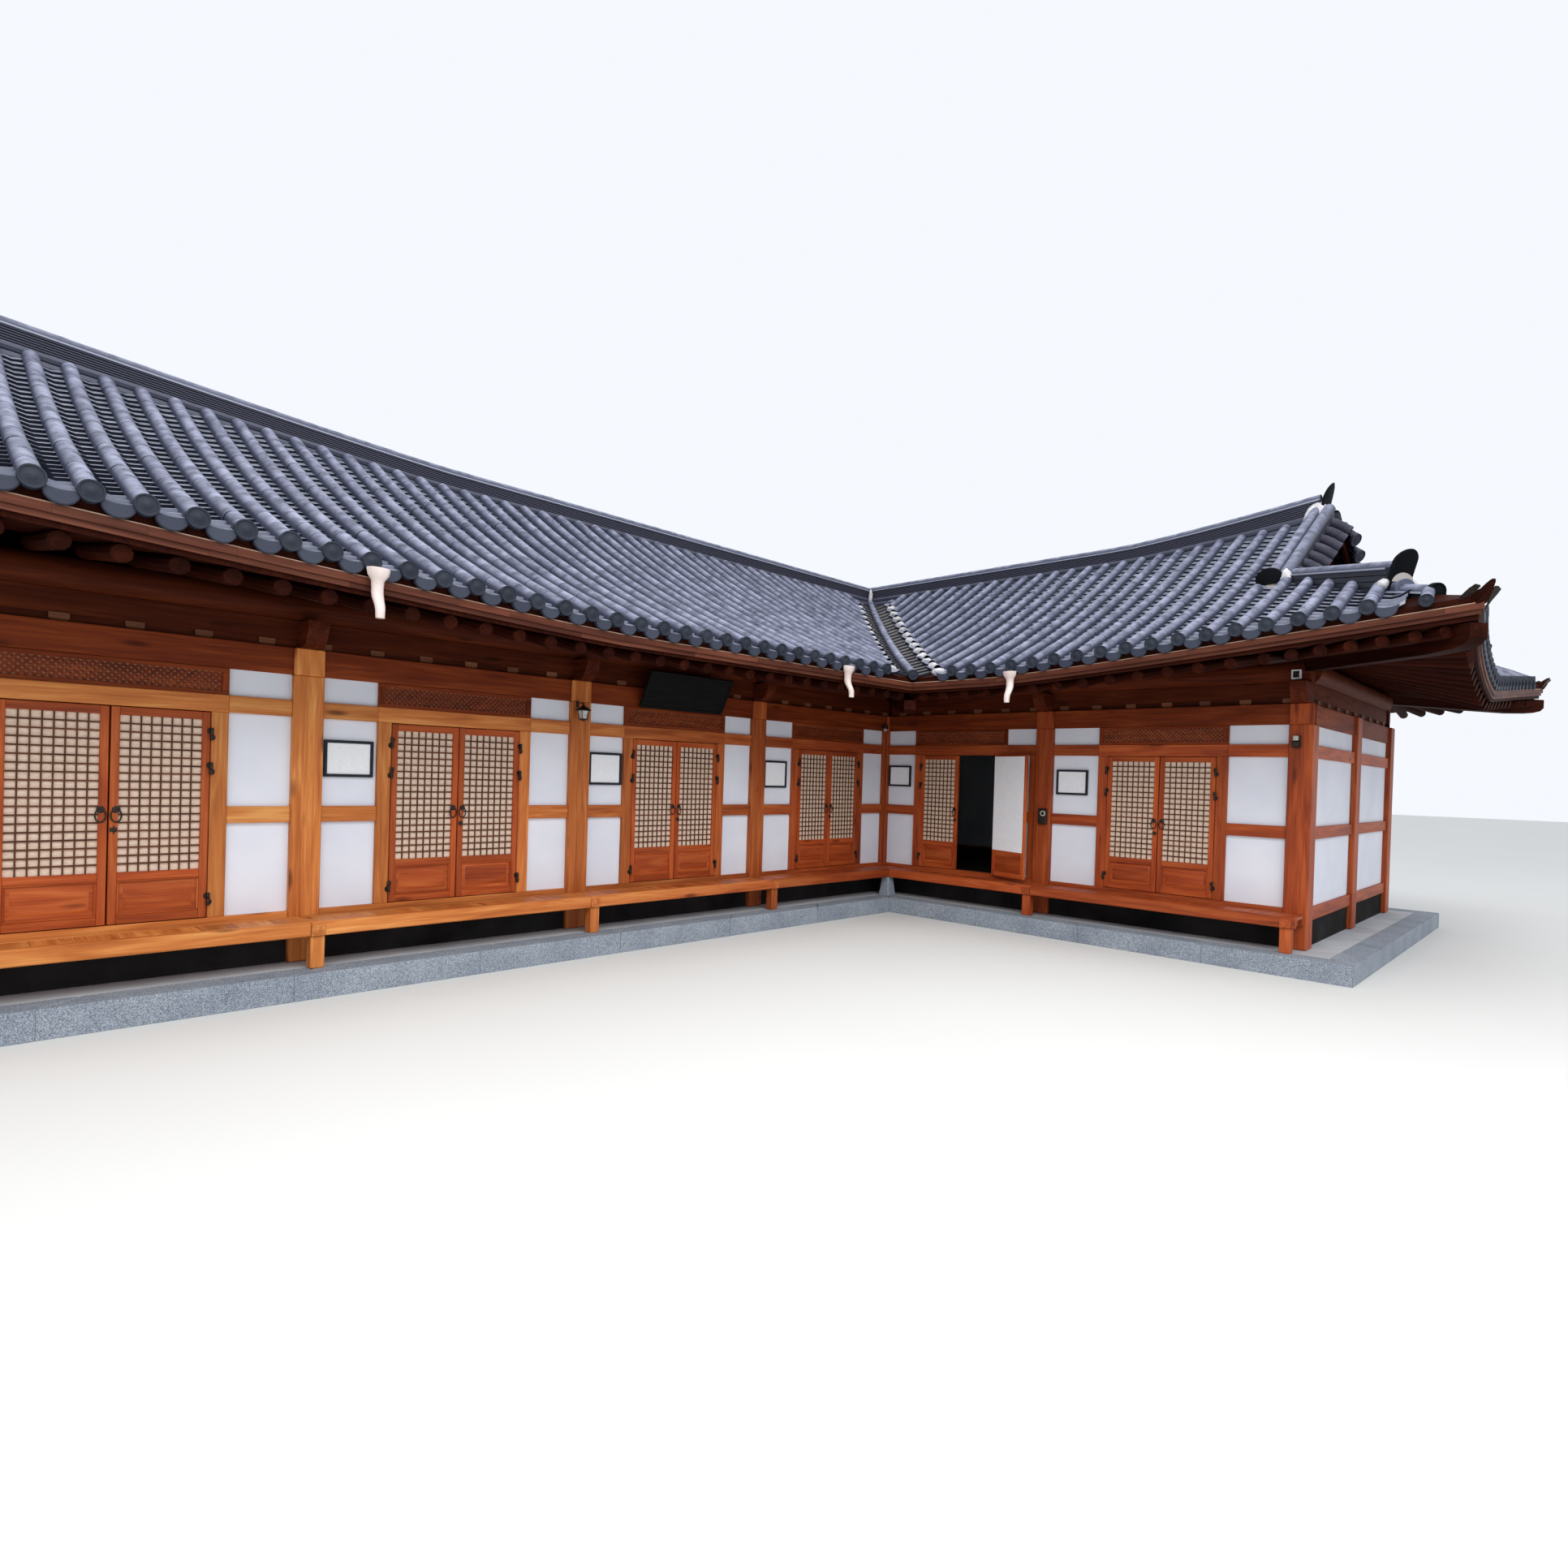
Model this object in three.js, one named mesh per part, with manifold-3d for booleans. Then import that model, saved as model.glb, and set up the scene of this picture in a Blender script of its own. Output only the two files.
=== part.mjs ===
// L-shaped hanok house: a long wing and a short wing round a courtyard, on a stone podium.
// Millimetres, +Z up. The origin is on the ground below the meeting line of the two courtyard walls.
// The long wing runs along -Y and its courtyard wall is the plane x = 0.
// The short wing runs along +X and its courtyard wall is the plane y = 0.
import * as THREE from 'three';
import { mergeVertices } from 'three/addons/utils/BufferGeometryUtils.js';
import Module from 'manifold-3d';

const wasm = await Module();
wasm.setup();

// Clearance between touching pieces, and how far a cut runs past the face that it opens
const GAP = 0.3;
const OVERSHOOT = 10;

// Plan: column centre lines, measured along each wing from the courtyard corner
const COLUMN_SETBACK = 95;
const WING_DEPTH = 4590;
const LONG_COLUMNS = [-95, 2765, 5465, 8165, 10865];
const SHORT_COLUMNS = [-95, 2618, 5619];
const OUTER_CORNER = -4495;
const REAR_MIDS = [-2295, -95];
const SHORT_DOOR_SHIFT = 29;
const RIDGE_LINE = WING_DEPTH / 2;

// Levels above the ground
const PODIUM_TOP = 210;
const SILL_BOTTOM = 505;
const FLOOR_TOP = 600;
const SILL_TOP = 645;
const RAIL_BOTTOM = 1403;
const RAIL_TOP = 1540;
const LINTEL_BOTTOM = 2303;
const LINTEL_TOP = 2443;
const WALL_TOP = 2660;
const HEAD_BEAM_TOP = 2890;
const BLOCK_TOP = 2950;
const BRACKET_TOP = 3120;

// Timber and plaster sections
const COLUMN = 240;
const COLUMN_PROUD = 25;
const FRAME_DEPTH = 150;
const STRIP_DEPTH = 39.7;
const JAMB = 120;
const DOORWAY = 1288;
const INFILL_FRONT = -40;
const INFILL_BACK = -140;
const TONGUE_BACK = -9.7;
const CORNER_STUD = 91;
const PURLIN_RADIUS = 125;
const PURLIN_BEARING = 3130;
const PURLIN_ARC = [-60, 240];
const PLATE_OVERRUN = 69;
const PLATE_BACK = -160;
const BLOCK_STRIP = [-120, -40];
const BRACKET_BEAM = [-145, -45];
const BEAM_END_WIDTH = 160;
const BEAM_END_REACH = 230;
const BEAM_END_LEVELS = [2892, 3108];

// Door leaves
const HINGE_PROUD = 20;
const LEAF_THICKNESS = 40;
const LEAF_SIDE_GAP = 6;
const LEAF_MEETING_GAP = 10;
const LEAF_END_GAP = 7;
const LEAF_STILE = 55;
const LEAF_RAIL = 62;
const LEAF_LOCK_RAIL = [330, 392];
const LEAF_PAPER = [-32, -20];
const LEAF_BOARD = [-34, -10];
const OPEN_LEAF_ANGLE = THREE.MathUtils.degToRad(160);

// Iron hinges: heights of the joints between their two knuckles, knuckle size and strap size
const HINGE_LEVELS = [800, 1845, 2120];
const KNUCKLE_RADIUS = 13;
const KNUCKLE_HEIGHT = 50;
const KNUCKLE_SIDES = 8;
const STRAP_LENGTH = 16;
const STRAP_THICKNESS = 12;

// Rear windows
const WINDOW_WIDTH = 1100;
const WINDOW_BORDER = 60;
const WINDOW_PANE = [-80, -66];
const WINDOW_SETBACK = 2;

// Podium and veranda
const PODIUM_MARGIN = 560;
const FLOOR_MARGIN = -30;
const FLOOR_INSET = -220;
const VERANDA_DEPTH = 400;
const VERANDA_EDGE = 70;
const VERANDA_BOARD = 40;
const VERANDA_BOTTOM = 480;
const VERANDA_LEDGER = 64;
const JOIST_WIDTH = 110;
const JOIST_PROUD = 8;
const LEG_OUT = [280, 385];
const CORNER_STONE_CENTRE = 345;
const CORNER_STONE_FOOT = 95;
const CORNER_STONE_HEAD = 62;

// Roof, measured inward from the eave edge
const EAVE_OUT = 1560;
const END_EAVE_OUT = 1655;
const HALF_SPAN = RIDGE_LINE + EAVE_OUT;
const EAVE_TOP = 3190;
const EAVE_BOTTOM = 3050;
const RAFTER_SETBACK = 80;
const RAFTER_BOTTOM = 2930;
const RIDGE_SEAT = 130;
const ROOF_RISE = 1970;
const STRAIGHT_SHARE = 0.75;
const PURLIN_SEAT = 3370.3;
const PURLIN_SEAT_RUN = [1585, 1725];
const INNER_SLOPE = 0.5;
const CORNER_LIFT = 368;
const LIFT_POWER = 1.2;
const LONG_LIFT_RUN = 6500;
const SHORT_LIFT_RUN = 4600;
const END_EAVE_BOW = 230;
const BOW_RUN = 1585;
const GABLE_INSET = 390;
const GABLE_FROM_EAVE = END_EAVE_OUT + GABLE_INSET;
const MITRE_GAP = 0.25;
const RIDGE_MITRE_GAP = 1.5;
const EAVE_STATIONS = [0, 79, 80, 500, 1000, 1585, 1725, 2044, 2700, 3300, 3725, HALF_SPAN];
const MITRE_SPLITS = [0, 0.12, 0.3, 0.55, 1];
const MITRE_END = 1700;
const STRAIGHT_STEP = 1400;

// Ridges
const RIDGE_HALF = 130;
const RIDGE_HEIGHT = 385;
const RIDGE_END_RUN = 3300;
const RIDGE_END_INSET = 400;
const RIDGE_SINK = 60;
const RIDGE_STEPS = 9;
const SHOULDER_SHARE = 0.82;
const CROWN_SHARE = 0.5;
const DESCENT_INSETS = [590, 330];
const DESCENT_HEIGHT = 240;
const DESCENT_REACH = 2021;
const DESCENT_TUCK = 20;
const DESCENT_STEPS = 6;
const VERGE_INSET = 80;
const VERGE_BAND = [-120, 60];
const VERGE_STATIONS = [0, RIDGE_SEAT, 440, 750, 1060, 1370, 1680, 1970];
const VERGE_LAP = 30;
const HIP_STAGES = [
  { from: 2010, to: 666, half: 110, heights: [140, 330] },
  { from: 690, to: 350, half: 100, heights: [110, 110] },
];
const HIP_STEPS = 4;
const GABLE_BOARD = 38;
const GABLE_BOARD_GAP = 2;
const GABLE_BOARD_HALF = 1800;
const GABLE_BOARD_DROP = 60;
const GABLE_STEPS = 8;

// End tiles that close the ridges: half width, foot, height over the ridge and how far they stand back
const END_TILE_THICKNESS = 50;
const END_TILE_CROWN_SHARE = 0.75;
const MAIN_END_TILE = { half: 160, low: 40, above: 110, back: 30, lean: 100 };
const DESCENT_END_TILE = { half: 165, low: -30, above: 60, back: 10 };
const HIP_END_TILE = { half: 150, low: -20, above: 110, back: 8 };
const ARC_STEP = 30;

// Nameboard over the long wing's second door: its run, its tilted section and its two brackets
const NAMEBOARD_ALONG = [3480, 4720];
const NAMEBOARD_OUTLINE = [[30, 2680], [250, 3080], [281, 3063], [61, 2663]];
const NAMEBOARD_BRACKETS = [3720, 4480];
const BRACKET_HALF = 15;
const BRACKET_REACH = 50;
const BRACKET_LEVELS = [2674, 2700];

// Rainwater spouts on the courtyard eaves: run along the wing and height of the lower end
const LONG_SPOUTS = [[2900, 2865], [8215, 2972]];
const SHORT_SPOUTS = [[2980, 2857]];
const SPOUT_SIDES = 10;
// Height above the lower end, centre line out from the eave, and half sizes along and outwards
const SPOUT_RINGS = [
  { z: 365, out: 56.6, half: [84, 59] },
  { z: 300, out: 54.6, half: [72, 57] },
  { z: 275, out: 43, half: [44, 42] },
  { z: 190, out: 43, half: [42, 40] },
  { z: 120, out: 80, half: [38, 34] },
  { z: 70, out: 106, half: [34, 31] },
  { z: 0, out: 108, half: [31, 29] },
];

const MATERIALS = {
  timber: new THREE.MeshStandardMaterial({ color: 0xb5622a, roughness: 0.55, metalness: 0 }),
  darkTimber: new THREE.MeshStandardMaterial({ color: 0x6b2a14, roughness: 0.6, metalness: 0 }),
  plaster: new THREE.MeshStandardMaterial({ color: 0xe9ebf0, roughness: 0.9, metalness: 0 }),
  door: new THREE.MeshStandardMaterial({ color: 0xc07a3e, roughness: 0.6, metalness: 0 }),
  stone: new THREE.MeshStandardMaterial({ color: 0x8d97a3, roughness: 0.9, metalness: 0 }),
  tile: new THREE.MeshStandardMaterial({ color: 0x4c545f, roughness: 0.5, metalness: 0 }),
  board: new THREE.MeshStandardMaterial({ color: 0x17181a, roughness: 0.5, metalness: 0 }),
  spout: new THREE.MeshStandardMaterial({ color: 0xe6d8d2, roughness: 0.5, metalness: 0 }),
};

// Each wing has an along axis, away from the corner, and an outward axis, towards the courtyard.
const LONG = {
  prefix: 'long',
  columns: LONG_COLUMNS,
  liftRun: LONG_LIFT_RUN,
  ridgeEndRise: 20,
  rearWindows: [4115, 6815],
  point: (along, out, z) => [out, -along, z],
};
const SHORT = {
  prefix: 'short',
  columns: SHORT_COLUMNS,
  liftRun: SHORT_LIFT_RUN,
  ridgeEndRise: 100,
  rearWindows: [1261],
  point: (along, out, z) => [along, -out, z],
};

const house = new THREE.Group();

// Mesh and boolean helpers

function geometryOf(vertices, triangles) {
  const geometry = new THREE.BufferGeometry();
  geometry.setAttribute('position', new THREE.Float32BufferAttribute(vertices, 3));
  geometry.setIndex(triangles);
  return geometry;
}

function merged(geometry) {
  geometry.deleteAttribute('normal');
  geometry.deleteAttribute('uv');
  return mergeVertices(geometry, 1e-3);
}

// Turns a closed body's faces out where its rings ran the other way round
function facingOut(geometry) {
  const index = Array.from(geometry.index.array);
  const [a, b, c] = [new THREE.Vector3(), new THREE.Vector3(), new THREE.Vector3()];
  const points = geometry.attributes.position;
  let volume = 0;
  for (let i = 0; i < index.length; i += 3) {
    a.fromBufferAttribute(points, index[i]);
    b.fromBufferAttribute(points, index[i + 1]);
    c.fromBufferAttribute(points, index[i + 2]);
    volume += a.dot(b.cross(c));
  }
  if (volume > 0) return geometry;
  for (let i = 0; i < index.length; i += 3) {
    [index[i + 1], index[i + 2]] = [index[i + 2], index[i + 1]];
  }
  geometry.setIndex(index);
  return geometry;
}

function toSolid(geometry) {
  const vertProperties = new Float32Array(geometry.attributes.position.array);
  const triVerts = new Uint32Array(geometry.index.array);
  return new wasm.Manifold(new wasm.Mesh({ numProp: 3, vertProperties, triVerts }));
}

function toGeometry(solid) {
  const mesh = solid.getMesh();
  return geometryOf(Array.from(mesh.vertProperties), Array.from(mesh.triVerts));
}

function join(solids) {
  return solids.reduce((sum, solid) => sum.add(solid));
}

function moved(solid, offset) {
  return toSolid(toGeometry(solid).translate(...offset));
}

function addPiece(name, solid, material) {
  const geometry = toGeometry(solid);
  geometry.computeVertexNormals();
  const piece = new THREE.Mesh(geometry, material);
  piece.name = name;
  house.add(piece);
  return piece;
}

// Points of a wall: distance along it, distance out from its face, and height
function frontWall(wing) {
  return (along, out, z) => wing.point(along, out, z);
}

function rearWall(wing) {
  return (along, out, z) => wing.point(along, -WING_DEPTH - out, z);
}

function endWall(wing) {
  const face = wing.columns.at(-1) + COLUMN_SETBACK;
  return (along, out, z) => wing.point(face + out, along, z);
}

// How far the bowed eave draws a point of a hipped end in, which fades out over the end wall
function bowShift(wing, along, across) {
  const fade = Math.max(0, 1 - (endEave(wing) - along) / BOW_RUN);
  return END_EAVE_BOW * fade * Math.max(0, 1 - (across / HALF_SPAN) ** 2);
}

// Points of a roof: distance along the ridge, distance across from it, and height
function roofPoint(wing, along, across, z) {
  return wing.point(along - bowShift(wing, along, across), -(across + RIDGE_LINE), z);
}

// A box between two corners, whose faces lie exactly on the given values
function wallBox(wall, along, out, z) {
  const a = wall(along[0], out[0], z[0]);
  const b = wall(along[1], out[1], z[1]);
  const geometry = merged(new THREE.BoxGeometry(1, 1, 1));
  const points = geometry.attributes.position;
  for (let i = 0; i < points.count; i += 1) {
    const unit = [points.getX(i), points.getY(i), points.getZ(i)];
    points.setXYZ(i, ...unit.map((side, k) => (side > 0 ? Math.max(a[k], b[k]) : Math.min(a[k], b[k]))));
  }
  return toSolid(geometry);
}

// A flat shape run from one value to another, its points placed by a function of all three
function extruded(shape, from, to, place) {
  const geometry = merged(new THREE.ExtrudeGeometry(shape, { depth: to - from, bevelEnabled: false }));
  const points = geometry.attributes.position;
  for (let i = 0; i < points.count; i += 1) {
    const run = points.getZ(i) > 0 ? to : from;
    points.setXYZ(i, ...place(points.getX(i), points.getY(i), run));
  }
  return toSolid(facingOut(geometry));
}

// An outline given as (outwards, height) pairs, run along a wall
function profileAlong(wall, outline, from, to) {
  const shape = new THREE.Shape(outline.map(([out, z]) => new THREE.Vector2(out, z)));
  return extruded(shape, from, to, (out, z, along) => wall(along, out, z));
}

// A closed body through matching convex rings of points
function loft(rings) {
  const count = rings[0].length;
  const triangles = [];
  for (let i = 0; i + 1 < rings.length; i += 1) {
    for (let j = 0; j < count; j += 1) {
      const a = i * count + j;
      const b = i * count + ((j + 1) % count);
      triangles.push(a, b, b + count, a, b + count, a + count);
    }
  }
  const last = (rings.length - 1) * count;
  for (let j = 1; j + 1 < count; j += 1) {
    triangles.push(0, j + 1, j, last, last + j, last + j + 1);
  }
  return toSolid(facingOut(geometryOf(rings.flat(2), triangles)));
}

// A loft with one ring for each of a number of equal steps between two values
function steppedLoft(from, to, steps, ringAt) {
  const rings = [];
  for (let i = 0; i <= steps; i += 1) rings.push(ringAt(from + ((to - from) * i) / steps));
  return loft(rings);
}

// L-shaped plate under both wings, its edge set out from the wall faces by a margin
function ellPrism(margin, from, to) {
  const longEnd = -(LONG_COLUMNS.at(-1) + COLUMN_SETBACK + margin);
  const shortEnd = SHORT_COLUMNS.at(-1) + COLUMN_SETBACK + margin;
  const rear = WING_DEPTH + margin;
  const corners = [
    [-rear, longEnd],
    [margin, longEnd],
    [margin, -margin],
    [shortEnd, -margin],
    [shortEnd, rear],
    [-rear, rear],
  ];
  const shape = new THREE.Shape(corners.map(([x, y]) => new THREE.Vector2(x, y)));
  return extruded(shape, from, to, (x, y, z) => [x, y, z]);
}

// Foundation

function columnBox(wall, centre, grow, z) {
  const half = COLUMN / 2 + grow;
  const back = COLUMN_PROUD - COLUMN - grow;
  return wallBox(wall, [centre - half, centre + half], [back, COLUMN_PROUD + grow], z);
}

function rearColumns(wing) {
  const corners = wing === LONG ? [OUTER_CORNER, LONG_COLUMNS.at(-1)] : [SHORT_COLUMNS.at(-1)];
  return { corners, mids: [...REAR_MIDS, ...wing.columns.slice(1, -1)] };
}

function makePodium() {
  addPiece('podium', ellPrism(PODIUM_MARGIN, 0, PODIUM_TOP), MATERIALS.stone);
}

function makeFloor() {
  const wide = ellPrism(FLOOR_MARGIN, PODIUM_TOP + GAP, SILL_BOTTOM - GAP);
  const inner = ellPrism(FLOOR_INSET, SILL_BOTTOM - GAP, FLOOR_TOP);
  const z = [PODIUM_TOP, FLOOR_TOP + OVERSHOOT];
  const holes = [];
  for (const wing of [LONG, SHORT]) {
    const { corners, mids } = rearColumns(wing);
    for (const centre of wing.columns) holes.push(columnBox(frontWall(wing), centre, GAP, z));
    for (const centre of [...corners, ...mids]) holes.push(columnBox(rearWall(wing), centre, GAP, z));
    holes.push(columnBox(endWall(wing), -RIDGE_LINE, GAP, z));
  }
  addPiece('floor_base', wide.add(inner).subtract(join(holes)), MATERIALS.stone);
}

// Verandas

function makeVeranda(wing, from) {
  const wall = frontWall(wing);
  const inner = COLUMN_PROUD + GAP;
  const end = wing.columns.at(-1) + COLUMN_SETBACK;
  const edge = VERANDA_DEPTH - VERANDA_EDGE;
  const underside = FLOOR_TOP - VERANDA_BOARD;
  const outline = [
    [inner, FLOOR_TOP],
    [inner, VERANDA_BOTTOM],
    [inner + VERANDA_LEDGER, VERANDA_BOTTOM],
    [inner + VERANDA_LEDGER, underside],
    [edge, underside],
    [edge, VERANDA_BOTTOM],
    [VERANDA_DEPTH, VERANDA_BOTTOM],
    [VERANDA_DEPTH, FLOOR_TOP],
  ];
  const parts = [profileAlong(wall, outline, from, end)];
  const outer = VERANDA_DEPTH + JOIST_PROUD;
  for (const centre of wing.columns.slice(1)) {
    const along = [centre - JOIST_WIDTH / 2, centre + JOIST_WIDTH / 2];
    parts.push(wallBox(wall, along, [inner, outer], [VERANDA_BOTTOM, underside]));
    parts.push(wallBox(wall, along, LEG_OUT, [PODIUM_TOP + GAP, VERANDA_BOTTOM]));
  }
  addPiece(`${wing.prefix}_veranda`, join(parts), MATERIALS.timber);
}

// Tapered stone under the veranda's inner corner
function makeCornerStone() {
  const centre = CORNER_STONE_CENTRE;
  const ring = (half, z) => [
    [centre - half, -centre - half, z],
    [centre + half, -centre - half, z],
    [centre + half, -centre + half, z],
    [centre - half, -centre + half, z],
  ];
  const rings = [ring(CORNER_STONE_FOOT, PODIUM_TOP + GAP), ring(CORNER_STONE_HEAD, VERANDA_BOTTOM - GAP)];
  addPiece('corner_stone', loft(rings), MATERIALS.stone);
}

// Courtyard walls

// Column with a tongue that carries on up past the head beam
function column(wall, centre) {
  const along = [centre - COLUMN / 2, centre + COLUMN / 2];
  const shaft = columnBox(wall, centre, 0, [PODIUM_TOP + GAP, WALL_TOP - GAP]);
  const tongueZ = [WALL_TOP - GAP, HEAD_BEAM_TOP];
  return shaft.add(wallBox(wall, along, [TONGUE_BACK, COLUMN_PROUD], tongueZ));
}

function doorCentre(wing, bay) {
  const shift = wing === SHORT && bay === 0 ? SHORT_DOOR_SHIFT : 0;
  return (wing.columns[bay] + wing.columns[bay + 1]) / 2 + shift;
}

// Half of a hinge on a wall's face: a knuckle round the hinge line and a strap beside it
function hingeHalf(place, hinge, handed, z) {
  const turn = Math.PI / KNUCKLE_SIDES;
  const outline = Array.from({ length: KNUCKLE_SIDES }, (unused, i) => {
    const angle = turn + (2 * Math.PI * i) / KNUCKLE_SIDES;
    const side = hinge + Math.cos(angle) * KNUCKLE_RADIUS;
    return new THREE.Vector2(side, HINGE_PROUD + Math.sin(angle) * KNUCKLE_RADIUS);
  });
  const knuckle = extruded(new THREE.Shape(outline), ...z, place);
  const from = hinge + handed * LEAF_SIDE_GAP;
  return knuckle.add(wallBox(place, [from, from + handed * STRAP_LENGTH], [0, STRAP_THICKNESS], z));
}

// Lower knuckles, which the jambs carry
function jambHinges(wall, left, right) {
  return HINGE_LEVELS.flatMap((level) => {
    const z = [level - KNUCKLE_HEIGHT, level];
    return [hingeHalf(wall, left, -1, z), hingeHalf(wall, right, 1, z)];
  });
}

// Where the plaster panels and rails of a bay start, past its column or the corner's stud
function panelStart(wing, bay) {
  const corner = wing === LONG && bay === 0;
  return (corner ? CORNER_STUD : wing.columns[bay] + COLUMN / 2) + GAP;
}

// Sill, jamb posts, rails and lintel of one bay, with the column past it
function bayFrame(wing, bay) {
  const wall = frontWall(wing);
  const from = panelStart(wing, bay);
  const to = wing.columns[bay + 1] - COLUMN / 2;
  const left = doorCentre(wing, bay) - DOORWAY / 2;
  const right = left + DOORWAY;
  const deep = [-FRAME_DEPTH, 0];
  const strip = [-STRIP_DEPTH, 0];
  const jambZ = [SILL_TOP, LINTEL_BOTTOM];
  return join([
    column(wall, wing.columns[bay + 1]),
    wallBox(wall, [wing.columns[bay] + COLUMN / 2 + GAP, to], deep, [SILL_BOTTOM, SILL_TOP]),
    wallBox(wall, [from, left - JAMB], strip, [LINTEL_BOTTOM, LINTEL_TOP]),
    wallBox(wall, [left - JAMB, right + JAMB], deep, [LINTEL_BOTTOM, LINTEL_TOP]),
    wallBox(wall, [right + JAMB, to], strip, [LINTEL_BOTTOM, LINTEL_TOP]),
    wallBox(wall, [from, left - JAMB], strip, [RAIL_BOTTOM, RAIL_TOP]),
    wallBox(wall, [right + JAMB, to], strip, [RAIL_BOTTOM, RAIL_TOP]),
    wallBox(wall, [left - JAMB, left], deep, jambZ),
    wallBox(wall, [right, right + JAMB], deep, jambZ),
    ...jambHinges(wall, left, right),
  ]);
}

// Plaster of one bay: a leg each side of the doorway and a band over it
function bayPlaster(wing, bay) {
  const wall = frontWall(wing);
  const from = panelStart(wing, bay);
  const to = wing.columns[bay + 1] - COLUMN / 2 - GAP;
  const centre = doorCentre(wing, bay);
  const reach = DOORWAY / 2 + JAMB + GAP;
  const out = [INFILL_BACK, INFILL_FRONT];
  const z = [SILL_TOP + GAP, WALL_TOP - GAP];
  return join([
    wallBox(wall, [from, centre - reach], out, z),
    wallBox(wall, [centre - reach, centre + reach], out, [LINTEL_TOP + GAP, WALL_TOP - GAP]),
    wallBox(wall, [centre + reach, to], out, z),
  ]);
}

// Column where the courtyard walls meet, with a stud beside it on the long wing's sill
function makeCornerPost() {
  const wall = frontWall(LONG);
  const along = [LONG.columns[0] + COLUMN / 2, CORNER_STUD];
  const stud = wallBox(wall, along, [-FRAME_DEPTH, 0], [SILL_TOP + GAP, WALL_TOP - GAP]);
  addPiece("corner_post", column(wall, LONG.columns[0]).add(stud), MATERIALS.timber);
}

function makeCourtyardWalls(wing) {
  for (let bay = 0; bay + 1 < wing.columns.length; bay += 1) {
    addPiece(`${wing.prefix}_frame_${bay + 1}`, bayFrame(wing, bay), MATERIALS.timber);
    addPiece(`${wing.prefix}_plaster_${bay + 1}`, bayPlaster(wing, bay), MATERIALS.plaster);
  }
}

// Plates

// Head beam, bearing strip, bracket beam and round purlin in one outline of outwards and height
function plateOutline() {
  const outline = [
    [PLATE_BACK, WALL_TOP],
    [TONGUE_BACK - GAP, WALL_TOP],
    [TONGUE_BACK - GAP, HEAD_BEAM_TOP],
    [BLOCK_STRIP[1], HEAD_BEAM_TOP],
    [BLOCK_STRIP[1], BLOCK_TOP],
    [BRACKET_BEAM[1], BLOCK_TOP],
    [BRACKET_BEAM[1], PURLIN_BEARING],
  ];
  const centreZ = BRACKET_TOP + PURLIN_RADIUS;
  for (let degrees = PURLIN_ARC[0]; degrees <= PURLIN_ARC[1]; degrees += ARC_STEP) {
    const angle = THREE.MathUtils.degToRad(degrees);
    const out = -COLUMN_SETBACK + Math.cos(angle) * PURLIN_RADIUS;
    outline.push([out, centreZ + Math.sin(angle) * PURLIN_RADIUS]);
  }
  outline.push([BRACKET_BEAM[0], PURLIN_BEARING], [BRACKET_BEAM[0], BLOCK_TOP]);
  outline.push([BLOCK_STRIP[0], BLOCK_TOP], [BLOCK_STRIP[0], HEAD_BEAM_TOP], [PLATE_BACK, HEAD_BEAM_TOP]);
  return outline;
}

function beamEnd(wall, centre) {
  const along = [centre - BEAM_END_WIDTH / 2, centre + BEAM_END_WIDTH / 2];
  return wallBox(wall, along, [-COLUMN_SETBACK, BEAM_END_REACH], BEAM_END_LEVELS);
}

function makeFrontPlate(wing, from) {
  const wall = frontWall(wing);
  const parts = [profileAlong(wall, plateOutline(), from, wing.columns.at(-1) + PLATE_OVERRUN)];
  for (const centre of wing.columns.slice(1)) parts.push(beamEnd(wall, centre));
  addPiece(`${wing.prefix}_plate`, join(parts), MATERIALS.darkTimber);
}

// Rear and end walls

// Column that is whole below the sill's top and only stands proud of the plaster above it
function outerColumn(wall, centre) {
  const along = [centre - COLUMN / 2, centre + COLUMN / 2];
  const base = columnBox(wall, centre, 0, [PODIUM_TOP + GAP, SILL_TOP]);
  return base.add(wallBox(wall, along, [-STRIP_DEPTH, COLUMN_PROUD], [SILL_TOP, HEAD_BEAM_TOP]));
}

function outerFrame(wall, mids, [from, to], plate) {
  const parts = mids.map((centre) => outerColumn(wall, centre));
  const strip = [-STRIP_DEPTH, 0];
  parts.push(wallBox(wall, [from, to], [-FRAME_DEPTH, 0], [SILL_BOTTOM, SILL_TOP]));
  parts.push(wallBox(wall, [from, to], strip, [RAIL_BOTTOM, RAIL_TOP]));
  parts.push(wallBox(wall, [from, to], strip, [LINTEL_BOTTOM, LINTEL_TOP]));
  parts.push(profileAlong(wall, plateOutline(), ...plate));
  return parts;
}

function outerPlaster(wall, from, to, windows) {
  const out = [INFILL_BACK, INFILL_FRONT];
  let slab = wallBox(wall, [from, to], out, [SILL_TOP + GAP, WALL_TOP - GAP]);
  for (const centre of windows) {
    const along = [centre - WINDOW_WIDTH / 2, centre + WINDOW_WIDTH / 2];
    slab = slab.subtract(wallBox(wall, along, [INFILL_BACK - OVERSHOOT, 0], [RAIL_TOP, LINTEL_BOTTOM]));
  }
  return slab;
}

function makeWindow(name, wall, centre) {
  const half = WINDOW_WIDTH / 2 - GAP;
  const z = [RAIL_TOP + GAP, LINTEL_BOTTOM - GAP];
  const pane = half - WINDOW_BORDER;
  const along = [centre - pane, centre + pane];
  const paneZ = [z[0] + WINDOW_BORDER, z[1] - WINDOW_BORDER];
  const whole = wallBox(wall, [centre - half, centre + half], [INFILL_BACK, -WINDOW_SETBACK], z);
  const front = wallBox(wall, along, [WINDOW_PANE[1], 0], paneZ);
  const back = wallBox(wall, along, [INFILL_BACK - OVERSHOOT, WINDOW_PANE[0]], paneZ);
  addPiece(name, whole.subtract(front).subtract(back), MATERIALS.door);
}

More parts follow.
